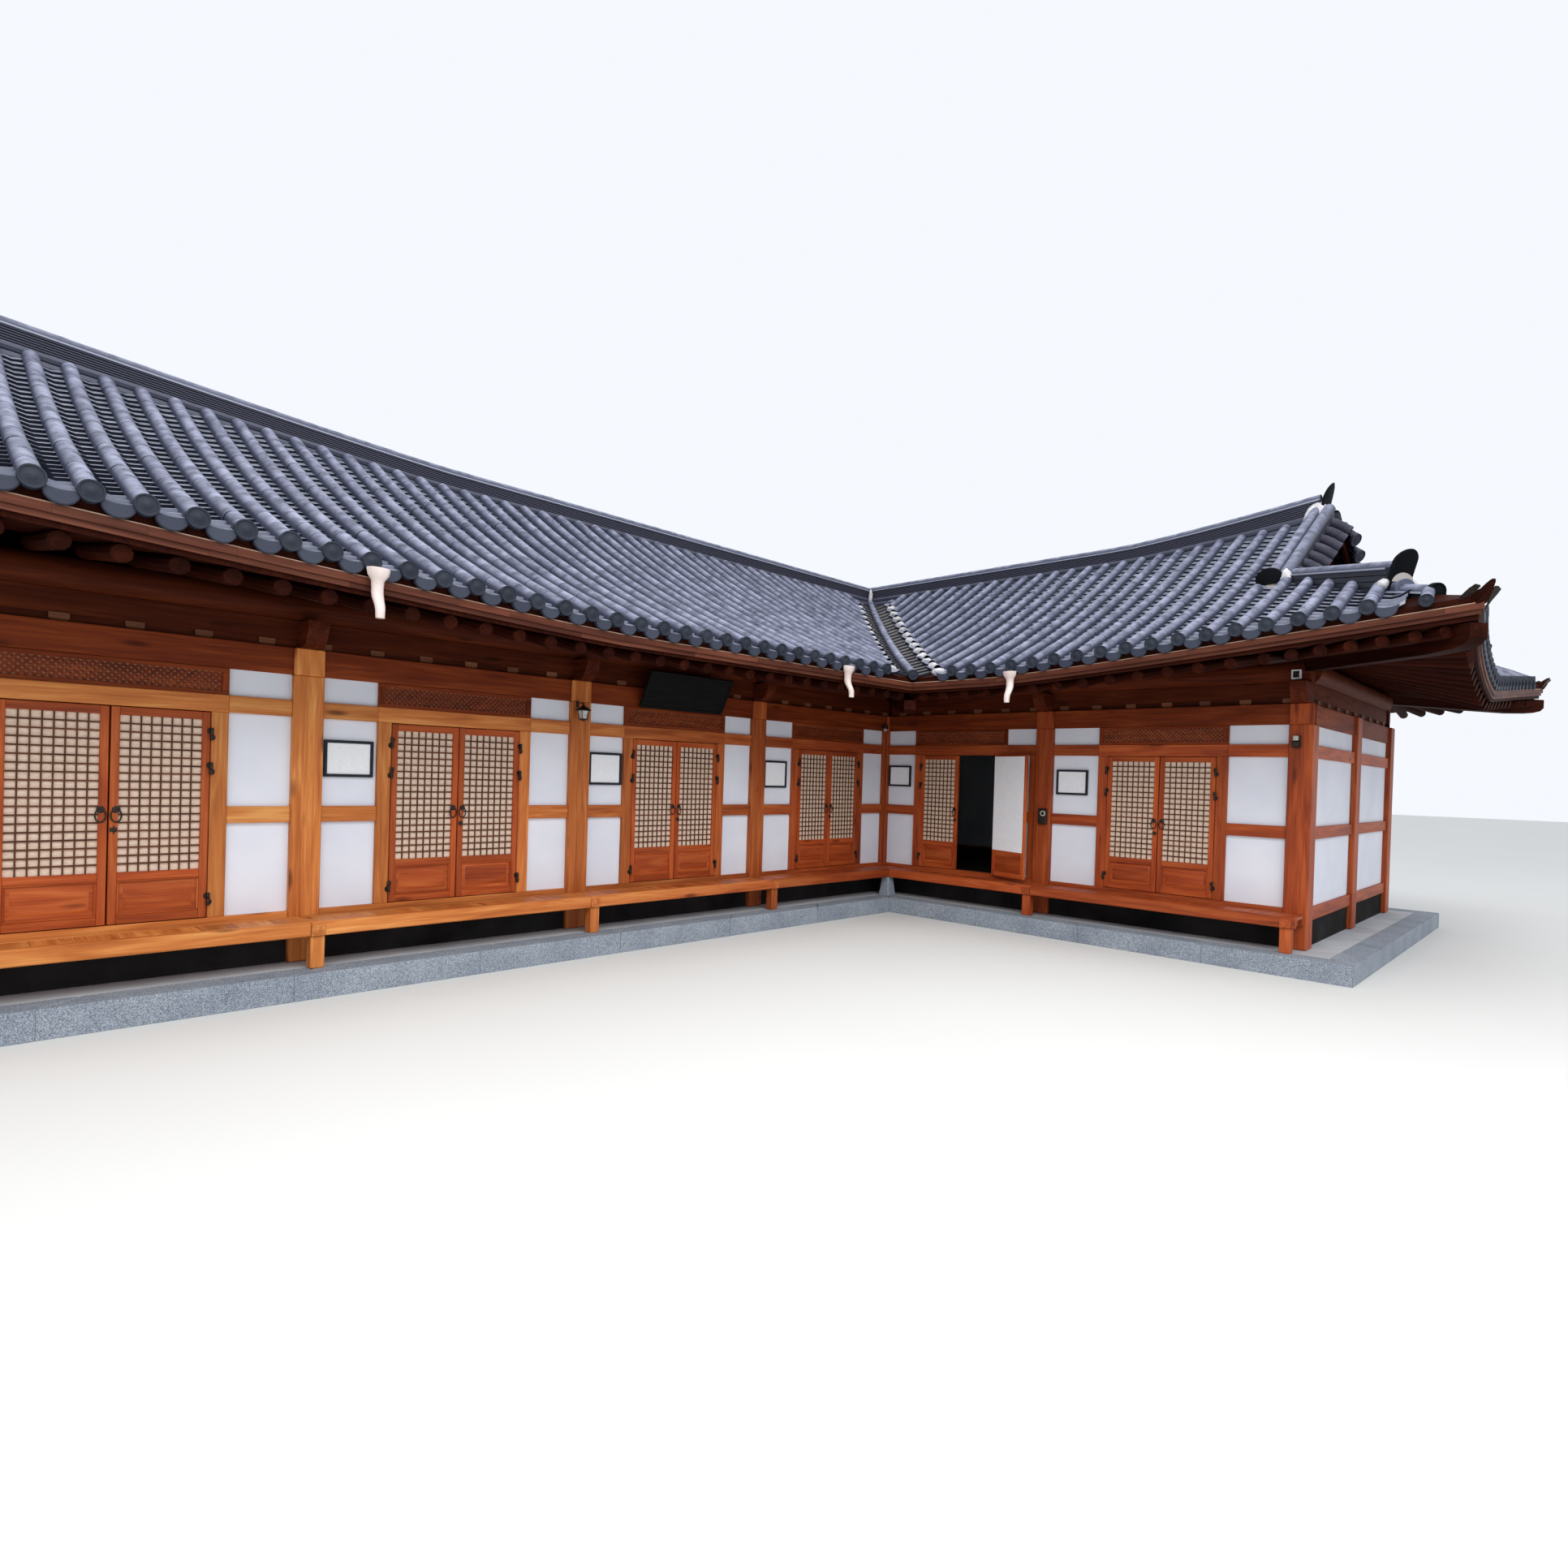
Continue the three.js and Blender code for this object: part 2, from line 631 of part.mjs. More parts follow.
function makeRearWall(wing) {
  const wall = rearWall(wing);
  const { corners, mids } = rearColumns(wing);
  const last = wing.columns.at(-1);
  const start = OUTER_CORNER + COLUMN / 2;
  const from = start + (wing === LONG ? 0 : GAP);
  const plateFrom = OUTER_CORNER + (wing === LONG ? -PLATE_OVERRUN : PURLIN_RADIUS + GAP);
  const parts = outerFrame(wall, mids, [from, last], [plateFrom, last + PLATE_OVERRUN]);
  for (const centre of corners) {
    parts.push(columnBox(wall, centre, 0, [PODIUM_TOP + GAP, HEAD_BEAM_TOP]));
  }
  addPiece(`${wing.prefix}_rear_frame`, join(parts), MATERIALS.timber);
  const plaster = outerPlaster(wall, start + GAP, last - COLUMN / 2 - GAP, wing.rearWindows);
  addPiece(`${wing.prefix}_rear_plaster`, plaster, MATERIALS.plaster);
  wing.rearWindows.forEach((centre, i) => {
    makeWindow(`${wing.prefix}_rear_window_${i + 1}`, wall, centre);
  });
}

function makeEndWall(wing) {
  const wall = endWall(wing);
  const from = -WING_DEPTH + COLUMN - COLUMN_PROUD + GAP;
  const to = COLUMN_PROUD - COLUMN - GAP;
  const purlin = COLUMN_SETBACK + PURLIN_RADIUS + GAP;
  const frame = join(outerFrame(wall, [-RIDGE_LINE], [from, to], [purlin - WING_DEPTH, -purlin]));
  addPiece(`${wing.prefix}_end_frame`, frame, MATERIALS.timber);
  addPiece(`${wing.prefix}_end_plaster`, outerPlaster(wall, from, to, []), MATERIALS.plaster);
}

// Doors

// One leaf about its own hinge line, reaching to the side that handed gives
function leafSolid(handed) {
  const width = (DOORWAY - LEAF_MEETING_GAP) / 2 - LEAF_SIDE_GAP;
  const reach = [LEAF_SIDE_GAP, LEAF_SIDE_GAP + width];
  const opening = [reach[0] + LEAF_STILE, reach[1] - LEAF_STILE];
  const low = SILL_TOP + LEAF_END_GAP;
  const high = LINTEL_BOTTOM - LEAF_END_GAP;
  const place = (along, out, z) => [handed * along, HINGE_PROUD - out, z];
  const panels = [
    { z: [low + LEAF_LOCK_RAIL[1], high - LEAF_RAIL], skin: LEAF_PAPER },
    { z: [low + LEAF_RAIL, low + LEAF_LOCK_RAIL[0]], skin: LEAF_BOARD },
  ];
  let leaf = wallBox(place, reach, [-LEAF_THICKNESS, 0], [low, high]);
  for (const { z, skin } of panels) {
    leaf = leaf.subtract(wallBox(place, opening, [skin[1], OVERSHOOT], z));
    leaf = leaf.subtract(wallBox(place, opening, [-LEAF_THICKNESS - OVERSHOOT, skin[0]], z));
  }
  const knuckles = HINGE_LEVELS.map((level) => {
    return hingeHalf(place, 0, 1, [level + GAP, level + GAP + KNUCKLE_HEIGHT]);
  });
  return join([leaf, ...knuckles]);
}

// The near leaf hangs on the side of the doorway that is closer to the inner corner
function makeLeaf(wing, bay, side, openAngle) {
  const hinge = doorCentre(wing, bay) - (side * DOORWAY) / 2;
  const [x, y] = wing.point(hinge, HINGE_PROUD, 0);
  const handed = wing === LONG ? -side : side;
  const turn = wing === LONG ? Math.PI / 2 : 0;
  const name = `${wing.prefix}_door_${bay + 1}_${side > 0 ? 'near' : 'far'}`;
  const leaf = addPiece(name, leafSolid(handed), MATERIALS.door);
  leaf.position.set(x, y, 0);
  leaf.rotation.z = turn - handed * openAngle;
}

// The short wing's first door stands with its far leaf opened wide
function makeDoors(wing) {
  for (let bay = 0; bay + 1 < wing.columns.length; bay += 1) {
    const opened = wing === SHORT && bay === 0;
    makeLeaf(wing, bay, 1, 0);
    makeLeaf(wing, bay, -1, opened ? OPEN_LEAF_ANGLE : 0);
  }
}

// Roof surface

function eaveLift(wing, distance) {
  const share = Math.max(0, 1 - distance / wing.liftRun);
  return CORNER_LIFT * share ** LIFT_POWER;
}

// The outer corner lifts as well, from nothing at the ridge to the full height at the corner
function outerLift(along, across) {
  const distance = along + RIDGE_LINE + HALF_SPAN;
  const share = Math.max(0, 1 - distance / HALF_SPAN);
  return CORNER_LIFT * share ** LIFT_POWER * Math.max(0, across / HALF_SPAN);
}

function slopeRise(fromEave) {
  const t = Math.min(1, fromEave / (HALF_SPAN - RIDGE_SEAT));
  return ROOF_RISE * (STRAIGHT_SHARE * t + (1 - STRAIGHT_SHARE) * t * t);
}

function endEave(wing) {
  return wing.columns.at(-1) + END_EAVE_OUT;
}

function mainTop(wing, along, across) {
  const lift = eaveLift(wing, endEave(wing) - along) + outerLift(along, across);
  return EAVE_TOP + slopeRise(HALF_SPAN - Math.abs(across)) + lift;
}

// On the hipped end, the run that stands for the distance from the corner
function endLiftRun(wing, sideways) {
  return sideways + (wing.liftRun - HALF_SPAN) * (sideways / HALF_SPAN) ** 3;
}

function roofTop(wing, along, across) {
  const fromEnd = endEave(wing) - along;
  const fromSide = HALF_SPAN - Math.abs(across);
  if (fromEnd >= GABLE_FROM_EAVE || fromEnd >= fromSide) return mainTop(wing, along, across);
  return EAVE_TOP + slopeRise(fromEnd) + eaveLift(wing, endLiftRun(wing, fromSide));
}

// Boxed eave edge, then rafters up to the purlin's flat seat, then the inner slope
function roofBottom(wing, along, across) {
  const fromEnd = endEave(wing) - along;
  const fromSide = HALF_SPAN - Math.abs(across);
  const fromEave = Math.min(fromEnd, fromSide);
  const liftRun = fromEnd < fromSide ? endLiftRun(wing, fromSide) : fromEnd;
  const lift = eaveLift(wing, liftRun) + outerLift(along, across);
  const [seatFrom, seatTo] = PURLIN_SEAT_RUN;
  if (fromEave < RAFTER_SETBACK) return EAVE_BOTTOM + lift;
  if (fromEave > seatTo) return PURLIN_SEAT + INNER_SLOPE * (fromEave - seatTo);
  if (fromEave >= seatFrom) return PURLIN_SEAT;
  const share = (fromEave - RAFTER_SETBACK) / (seatFrom - RAFTER_SETBACK);
  return RAFTER_BOTTOM + (PURLIN_SEAT - RAFTER_BOTTOM) * share + lift * (1 - fromEave / seatFrom);
}

function acrossStations() {
  const sides = EAVE_STATIONS.map((fromEave) => fromEave - HALF_SPAN);
  return [...sides, ...sides.slice(0, -1).map((across) => -across).reverse()];
}

// Along one line of the slab: the skewed stretch at the mitre, then the common stations
function alongStations(wing, across) {
  const start = MITRE_GAP - RIDGE_LINE - across;
  const skewed = MITRE_SPLITS.map((share) => start + (MITRE_END - start) * share);
  const end = endEave(wing);
  const hipped = [...EAVE_STATIONS, GABLE_FROM_EAVE].sort((a, b) => b - a).map((e) => end - e);
  const run = hipped[0] - MITRE_END;
  const steps = Math.max(1, Math.round(run / STRAIGHT_STEP));
  const straight = [];
  for (let i = 1; i < steps; i += 1) straight.push(MITRE_END + (run * i) / steps);
  return [...skewed, ...straight, ...hipped];
}

// Top and bottom grids of one wing's slab, with how far each point lies from the hips
function slabGrid(wing) {
  const vertices = [];
  const fromHip = [];
  for (const height of [roofTop, roofBottom]) {
    for (const across of acrossStations()) {
      for (const along of alongStations(wing, across)) {
        vertices.push(...roofPoint(wing, along, across, height(wing, along, across)));
        fromHip.push(Math.abs(endEave(wing) - along - HALF_SPAN + Math.abs(across)));
      }
    }
  }
  return { vertices, fromHip };
}

// The grid's outer loop of points, in order
function gridRim(rows, columns) {
  const rim = [];
  for (let j = 0; j < columns; j += 1) rim.push(j);
  for (let i = 1; i < rows; i += 1) rim.push(i * columns + columns - 1);
  for (let j = columns - 2; j >= 0; j -= 1) rim.push((rows - 1) * columns + j);
  for (let i = rows - 2; i > 0; i -= 1) rim.push(i * columns);
  return rim;
}

function slabGeometry(wing) {
  const { vertices, fromHip } = slabGrid(wing);
  const rows = acrossStations().length;
  const columns = alongStations(wing, 0).length;
  const layer = rows * columns;
  const triangles = [];
  for (let i = 0; i + 1 < rows; i += 1) {
    for (let j = 0; j + 1 < columns; j += 1) {
      const a = i * columns + j;
      const b = a + 1;
      const d = a + columns;
      const c = d + 1;
      const straight = fromHip[a] + fromHip[c] <= fromHip[b] + fromHip[d];
      const faces = straight ? [[a, b, c], [a, c, d]] : [[a, b, d], [b, c, d]];
      for (const [p, q, r] of faces) triangles.push(p, q, r, p + layer, r + layer, q + layer);
    }
  }
  const rim = gridRim(rows, columns);
  rim.forEach((p, i) => {
    const q = rim[(i + 1) % rim.length];
    triangles.push(q, p, p + layer, q, p + layer, q + layer);
  });
  return geometryOf(vertices, triangles);
}

const slabs = new Map();
const ridges = new Map();

function makeRoof(wing) {
  const slab = toSolid(facingOut(slabGeometry(wing)));
  slabs.set(wing, slab);
  addPiece(`${wing.prefix}_roof`, slab, MATERIALS.tile);
}

// Removes the slab from a piece that is sunk into it, with the usual clearance
function seatOnRoof(solid, wing) {
  return solid.subtract(moved(slabs.get(wing), wing.point(GAP, 0, GAP)));
}

// Ridges

// Section points, sideways and above the roof, of a ridge with rounded shoulders
function ridgeSection(half, height) {
  return [
    [-half, -RIDGE_SINK],
    [-half, height * SHOULDER_SHARE],
    [-half * CROWN_SHARE, height],
    [half * CROWN_SHARE, height],
    [half, height * SHOULDER_SHARE],
    [half, -RIDGE_SINK],
  ];
}

// Rounded end tile that closes a ridge, as (sideways, height) points
function endTileOutline(half, low, high) {
  const crown = half * END_TILE_CROWN_SHARE;
  const outline = [[-half, low], [half, low]];
  for (let degrees = 0; degrees <= 180; degrees += ARC_STEP) {
    const angle = THREE.MathUtils.degToRad(degrees);
    outline.push([Math.cos(angle) * half, high - crown + Math.sin(angle) * crown]);
  }
  return outline;
}

function ridgeEnd(wing) {
  return wing.columns.at(-1) - RIDGE_END_INSET;
}

function ridgeHeight(wing, along) {
  const share = Math.max(0, 1 - (ridgeEnd(wing) - along) / RIDGE_END_RUN);
  return RIDGE_HEIGHT + wing.ridgeEndRise * share ** 2;
}

// The two wings' main ridges meet on the mitre, so the first ring is skewed
function mainRidge(wing) {
  return steppedLoft(-RIDGE_LINE, ridgeEnd(wing), RIDGE_STEPS, (along) => {
    const section = ridgeSection(RIDGE_HALF, ridgeHeight(wing, along));
    return section.map(([across, z]) => {
      const skew = along === -RIDGE_LINE ? RIDGE_MITRE_GAP - across : 0;
      return roofPoint(wing, along + skew, across, mainTop(wing, along, 0) + z);
    });
  });
}

function mainEndTile(wing) {
  const tile = MAIN_END_TILE;
  const end = ridgeEnd(wing);
  const base = mainTop(wing, end, 0);
  const low = base + tile.low;
  const high = base + ridgeHeight(wing, end) + tile.above;
  const outline = endTileOutline(tile.half, low, high);
  const ring = (offset) => outline.map(([across, z]) => {
    const lean = ((z - low) / (high - low)) ** 2 * tile.lean;
    return roofPoint(wing, end + offset + lean, across, z);
  });
  return loft([ring(-tile.back), ring(END_TILE_THICKNESS - tile.back)]);
}

function descentLine(wing) {
  return wing.columns.at(-1) - (DESCENT_INSETS[0] + DESCENT_INSETS[1]) / 2;
}

// Ridge that runs down beside the gable
function descendingRidge(wing, side) {
  const line = descentLine(wing);
  const half = (DESCENT_INSETS[0] - DESCENT_INSETS[1]) / 2;
  const section = ridgeSection(half, DESCENT_HEIGHT);
  return steppedLoft(side * (RIDGE_HALF - DESCENT_TUCK), side * DESCENT_REACH, DESCENT_STEPS, (across) => {
    return section.map(([sideways, z]) => {
      return roofPoint(wing, line + sideways, across, mainTop(wing, line, across) + z);
    });
  });
}

function descentEndTile(wing, side) {
  const tile = DESCENT_END_TILE;
  const line = descentLine(wing);
  const base = mainTop(wing, line, DESCENT_REACH);
  const outline = endTileOutline(tile.half, base + tile.low, base + DESCENT_HEIGHT + tile.above);
  const ring = (reach) => outline.map(([sideways, z]) => {
    return roofPoint(wing, line + sideways, side * reach, z);
  });
  const back = DESCENT_REACH - tile.back;
  return loft([ring(back), ring(back + END_TILE_THICKNESS)]);
}

// Band of tiles along the edge of the gable
function verge(wing, side) {
  const from = wing.columns.at(-1) - GABLE_INSET - VERGE_LAP;
  const to = wing.columns.at(-1) - VERGE_INSET;
  return loft(VERGE_STATIONS.map((reach) => {
    const across = side * reach;
    const z = mainTop(wing, from, across);
    return [
      roofPoint(wing, from, across, z + VERGE_BAND[0]),
      roofPoint(wing, to, across, z + VERGE_BAND[0]),
      roofPoint(wing, to, across, z + VERGE_BAND[1]),
      roofPoint(wing, from, across, z + VERGE_BAND[1]),
    ];
  }));
}

// Point on a wing's hip, given its distance from the eave and its distance from the hip line
function hipPoint(wing, side, fromEave, sideways, above) {
  const shift = sideways / Math.SQRT2;
  const along = endEave(wing) - fromEave - shift;
  const across = side * (HALF_SPAN - fromEave + shift);
  const z = mainTop(wing, endEave(wing) - fromEave, HALF_SPAN - fromEave);
  return roofPoint(wing, along, across, z + above);
}

// Point on the hip over the outer corner, where both wings' rear slopes meet
function outerHipPoint(fromEave, sideways, above) {
  const shift = sideways / Math.SQRT2;
  const run = RIDGE_LINE + HALF_SPAN - fromEave;
  const z = mainTop(SHORT, -run, HALF_SPAN - fromEave);
  return [-run + shift, run + shift, z + above];
}

// One stage of a hip ridge, which grows towards its lower end
function hipStage(pointAt, stage, from) {
  const [low, high] = stage.heights;
  return steppedLoft(from, stage.to, HIP_STEPS, (fromEave) => {
    const share = (fromEave - from) / (stage.to - from);
    const section = ridgeSection(stage.half, low + (high - low) * share ** 2);
    return section.map(([sideways, z]) => pointAt(fromEave, sideways, z));
  });
}

// Stepped hip ridge with an upright end tile, on the points that pointAt gives
function hipRidge(pointAt, top) {
  const parts = HIP_STAGES.map((stage, i) => hipStage(pointAt, stage, i === 0 ? top : stage.from));
  const { to, heights } = HIP_STAGES[0];
  const tile = HIP_END_TILE;
  const outline = endTileOutline(tile.half, tile.low, heights[1] + tile.above);
  const ring = (fromEave) => outline.map(([sideways, z]) => pointAt(fromEave, sideways, z));
  const back = to + tile.back;
  parts.push(loft([ring(back), ring(back - END_TILE_THICKNESS)]));
  return join(parts);
}

function makeRidges(wing) {
  const parts = [mainRidge(wing), mainEndTile(wing)];
  for (const side of [-1, 1]) {
    parts.push(descendingRidge(wing, side), descentEndTile(wing, side), verge(wing, side));
    const pointAt = (...place) => hipPoint(wing, side, ...place);
    parts.push(hipRidge(pointAt, HIP_STAGES[0].from));
  }
  const ridge = seatOnRoof(join(parts), wing);
  ridges.set(wing, ridge);
  addPiece(`${wing.prefix}_ridge`, ridge, MATERIALS.tile);
}

function makeOuterHip() {
  let hip = hipRidge(outerHipPoint, HALF_SPAN - RIDGE_HALF - GAP);
  for (const wing of [LONG, SHORT]) hip = hip.subtract(moved(slabs.get(wing), [0, 0, GAP]));
  addPiece('outer_hip_ridge', hip, MATERIALS.tile);
}

// Boarding of the gable, up to the underside of the verge
function makeGableBoard(wing) {
  const from = wing.columns.at(-1) - GABLE_INSET + GABLE_BOARD_GAP;
  const low = roofTop(wing, from + GABLE_BOARD, 0) - RIDGE_SINK;
  const outline = [[-GABLE_BOARD_HALF, low], [GABLE_BOARD_HALF, low]];
  for (let i = GABLE_STEPS; i >= 0; i -= 1) {
    const across = GABLE_BOARD_HALF * ((2 * i) / GABLE_STEPS - 1);
    outline.push([across, mainTop(wing, from, across) - GABLE_BOARD_DROP]);
  }
  const wall = (along, across, z) => roofPoint(wing, along, across, z);
  const board = seatOnRoof(profileAlong(wall, outline, from, from + GABLE_BOARD), wing);
  const lowered = moved(ridges.get(wing), [0, 0, -GAP]);
  addPiece(`${wing.prefix}_gable`, board.subtract(lowered), MATERIALS.timber);
}

function makeNameboard() {
  const wall = frontWall(LONG);
  const parts = [profileAlong(wall, NAMEBOARD_OUTLINE, ...NAMEBOARD_ALONG)];
  for (const centre of NAMEBOARD_BRACKETS) {
    const along = [centre - BRACKET_HALF, centre + BRACKET_HALF];
    parts.push(wallBox(wall, along, [TONGUE_BACK, BRACKET_REACH], BRACKET_LEVELS));
  }
  addPiece('nameboard', join(parts), MATERIALS.board);
}

// S-shaped spout against the eave board
function makeSpout(name, wing, [along, low]) {
  const rings = SPOUT_RINGS.map(({ z, out, half }) => {
    return Array.from({ length: SPOUT_SIDES }, (unused, i) => {
      const angle = (2 * Math.PI * i) / SPOUT_SIDES;
      const place = [along + Math.cos(angle) * half[0], EAVE_OUT + out + Math.sin(angle) * half[1]];
      return wing.point(...place, low + z);
    });
  });
  addPiece(name, loft(rings), MATERIALS.spout);
}

function makeSpouts(wing, places) {
  places.forEach((place, i) => makeSpout(`${wing.prefix}_spout_${i + 1}`, wing, place));
}

makePodium();
makeFloor();
makeVeranda(LONG, COLUMN_PROUD + GAP);
makeVeranda(SHORT, VERANDA_DEPTH + GAP);
makeCornerStone();
makeCornerPost();
for (const wing of [LONG, SHORT]) {
  makeCourtyardWalls(wing);
  makeDoors(wing);
  makeRearWall(wing);
  makeEndWall(wing);
  makeRoof(wing);
  makeRidges(wing);
  makeGableBoard(wing);
}
makeFrontPlate(LONG, -COLUMN_SETBACK - COLUMN / 2);
makeFrontPlate(SHORT, PURLIN_RADIUS - COLUMN_SETBACK + GAP);
makeOuterHip();
makeNameboard();
makeSpouts(LONG, LONG_SPOUTS);
makeSpouts(SHORT, SHORT_SPOUTS);

export default house;
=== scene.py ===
import math
import random

import bmesh
import bpy
from mathutils import Matrix, Vector, noise


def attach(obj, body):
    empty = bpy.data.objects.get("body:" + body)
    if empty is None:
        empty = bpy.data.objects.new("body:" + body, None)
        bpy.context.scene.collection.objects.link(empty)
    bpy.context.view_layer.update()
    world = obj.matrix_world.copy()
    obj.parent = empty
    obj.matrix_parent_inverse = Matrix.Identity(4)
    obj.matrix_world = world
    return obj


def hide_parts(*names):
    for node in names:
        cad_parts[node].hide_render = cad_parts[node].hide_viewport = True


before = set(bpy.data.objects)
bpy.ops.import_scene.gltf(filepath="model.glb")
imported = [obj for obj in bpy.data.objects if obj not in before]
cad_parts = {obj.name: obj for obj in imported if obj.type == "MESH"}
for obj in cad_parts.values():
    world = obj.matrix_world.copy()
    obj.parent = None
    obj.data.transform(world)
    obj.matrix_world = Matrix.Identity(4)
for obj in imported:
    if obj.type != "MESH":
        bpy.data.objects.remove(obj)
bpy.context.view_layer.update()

random.seed(19)

# Everything is in metres, in the frame's own axes. A wing's own coordinates are the distance
# along it from the courtyard corner, the distance out from its courtyard wall, and the height.
WING_DEPTH = 4.59
RIDGE_LINE = WING_DEPTH / 2
COLUMN_SETBACK = 0.095
OUTER_CORNER = -4.495
REAR_MIDS = [-2.295, -0.095]

# Levels
PODIUM_TOP = 0.21
SILL_BOTTOM = 0.505
FLOOR_TOP = 0.6
SILL_TOP = 0.645
RAIL_BOTTOM = 1.403
RAIL_TOP = 1.54
LINTEL_BOTTOM = 2.303
LINTEL_TOP = 2.443
WALL_TOP = 2.66
HEAD_BEAM_TOP = 2.89
BLOCK_TOP = 2.95
BRACKET_TOP = 3.12

# Sections
GAP = 0.0003
COLUMN = 0.24
COLUMN_PROUD = 0.025
FRAME_DEPTH = 0.15
STRIP_DEPTH = 0.0397
JAMB = 0.12
DOORWAY = 1.288
CORNER_STUD = 0.091
SLIT = 0.001
PURLIN_RADIUS = 0.125
BLOCK_SPACING = 0.45
PLATE_PAST = 0.069
SHORT_DOOR_SHIFT = 0.029

# Doors
HINGE_PROUD = 0.02
LEAF_THICKNESS = 0.04
LEAF_SIDE_GAP = 0.006
LEAF_MEETING_GAP = 0.01
LEAF_END_GAP = 0.007
LEAF_STILE = 0.055
LEAF_RAIL = 0.062
LEAF_LOCK_RAIL = (0.33, 0.392)
HINGE_LEVELS = (0.8, 1.845, 2.12)
KNUCKLE_RADIUS = 0.013
KNUCKLE_HEIGHT = 0.05
OPEN_LEAF_ANGLE = math.radians(160)

# Podium and veranda
PODIUM_MARGIN = 0.56
VERANDA_DEPTH = 0.4
VERANDA_POST = 0.055
VERANDA_EDGE = 0.07
VERANDA_BOARD = 0.04
VERANDA_BOTTOM = 0.48
VERANDA_LEDGER = 0.064

# Roof surface
EAVE_OUT = 1.56
END_EAVE_OUT = 1.655
HALF_SPAN = RIDGE_LINE + EAVE_OUT
EAVE_TOP = 3.19
ROOF_RISE = 1.97
RIDGE_SEAT = 0.13
STRAIGHT_SHARE = 0.75
CORNER_LIFT = 0.368
LIFT_POWER = 1.2
END_EAVE_BOW = 0.23
BOW_RUN = 1.585
GABLE_FROM_EAVE = END_EAVE_OUT + 0.39
RAFTER_FOOT = 0.08
RAFTER_RADIUS = 0.06
PURLIN_RUN = 1.655
RAFTER_AXIS = (2.99, 3.43)
INNER_SLOPE = 0.5
RAFTER_SPACING = 0.3

# Tiles
ROW_SPACING = 0.265
SHORTEST_ROW = 0.12
AT_EAVE = 0.01
ROUND_RADIUS = 0.065
ROUND_AXIS = 0.096
ROUND_LENGTH = 0.32
FLAT_LENGTH = 0.125
FLAT_STEP = 0.022
FLAT_LOW = 0.046
FLAT_HIGH = 0.096
CORNER_CLEAR = 0.39
LAST_PITCH = 0.42
VALLEY_START = 0.16
HIP_ROUNDS = 0.52
HIP_TROUGHS = 0.38
VERGE_ROW = 0.42
VERGE_ROW_REACH = 0.15
VERGE_FOOT = 2.22
FASCIA_TOP = -0.024
VALLEY_HALF = 0.32

UP = Vector((0, 0, 1))
WHITE = (1.0, 1.0, 1.0)
# The frame's Y between which the wood turns to its near colours, painted light that brightens the wood towards
# the long wing's far end
LIT_WOOD_SPAN = (-1.5, -8.0)


class Wing:
    """One of the two wings: its name, column lines and roof figures, and its own coordinates"""

    def __init__(self, name, columns, lift_run, ridge_end_rise, rear_windows, along, out):
        self.name = name
        self.columns = columns
        self.last = columns[-1]
        self.lift_run = lift_run
        self.ridge_end_rise = ridge_end_rise
        self.rear_windows = rear_windows
        self.along = Vector(along)
        self.out = Vector(out)
        self.end_eave = self.last + END_EAVE_OUT

    def point(self, along, out, z):
        return self.along * along + self.out * out + UP * z

    def roof(self, along, across, z):
        """Point of the roof, where the bowed eave draws the hipped end's middle in"""
        fade = max(0.0, 1 - (self.end_eave - along) / BOW_RUN)
        bow = END_EAVE_BOW * fade * max(0.0, 1 - (across / HALF_SPAN) ** 2)
        return self.point(along - bow, -(across + RIDGE_LINE), z)

    def front(self, along, out, z):
        return self.point(along, out, z)

    def rear(self, along, out, z):
        return self.point(along, -WING_DEPTH - out, z)

    def end(self, along, out, z):
        return self.point(self.last + COLUMN_SETBACK + out, along, z)


LONG = Wing("long", [-0.095, 2.765, 5.465, 8.165, 10.865], 6.5, 0.02, [4.115, 6.815], (0, -1, 0), (1, 0, 0))
SHORT = Wing("short", [-0.095, 2.618, 5.619], 4.6, 0.1, [1.261], (1, 0, 0), (0, -1, 0))
SLOPE_NAMES = {-1: "courtyard", 1: "rear"}
WINGS = (LONG, SHORT)


# Meshes

def around(centre, half):
    return centre - half, centre + half


def rims(span, width):
    """Strips of one width at both ends of a span"""
    return (span[0], span[0] + width), (span[1] - width, span[1])


def within(span, inset):
    return span[0] + inset, span[1] - inset


def split(low, high, count):
    return [low + (high - low) * i / count for i in range(count + 1)]


def stations(low, high, step):
    """Places from low to high, as near to a step apart as fits a whole number of them"""
    return split(low, high, max(1, round((high - low) / step)))


def circle(sides):
    """Cosine and sine for each corner of a round section"""
    return [(math.cos(math.tau * i / sides), math.sin(math.tau * i / sides)) for i in range(sides)]


def unchanged(x, y, z):
    return Vector((x, y, z))


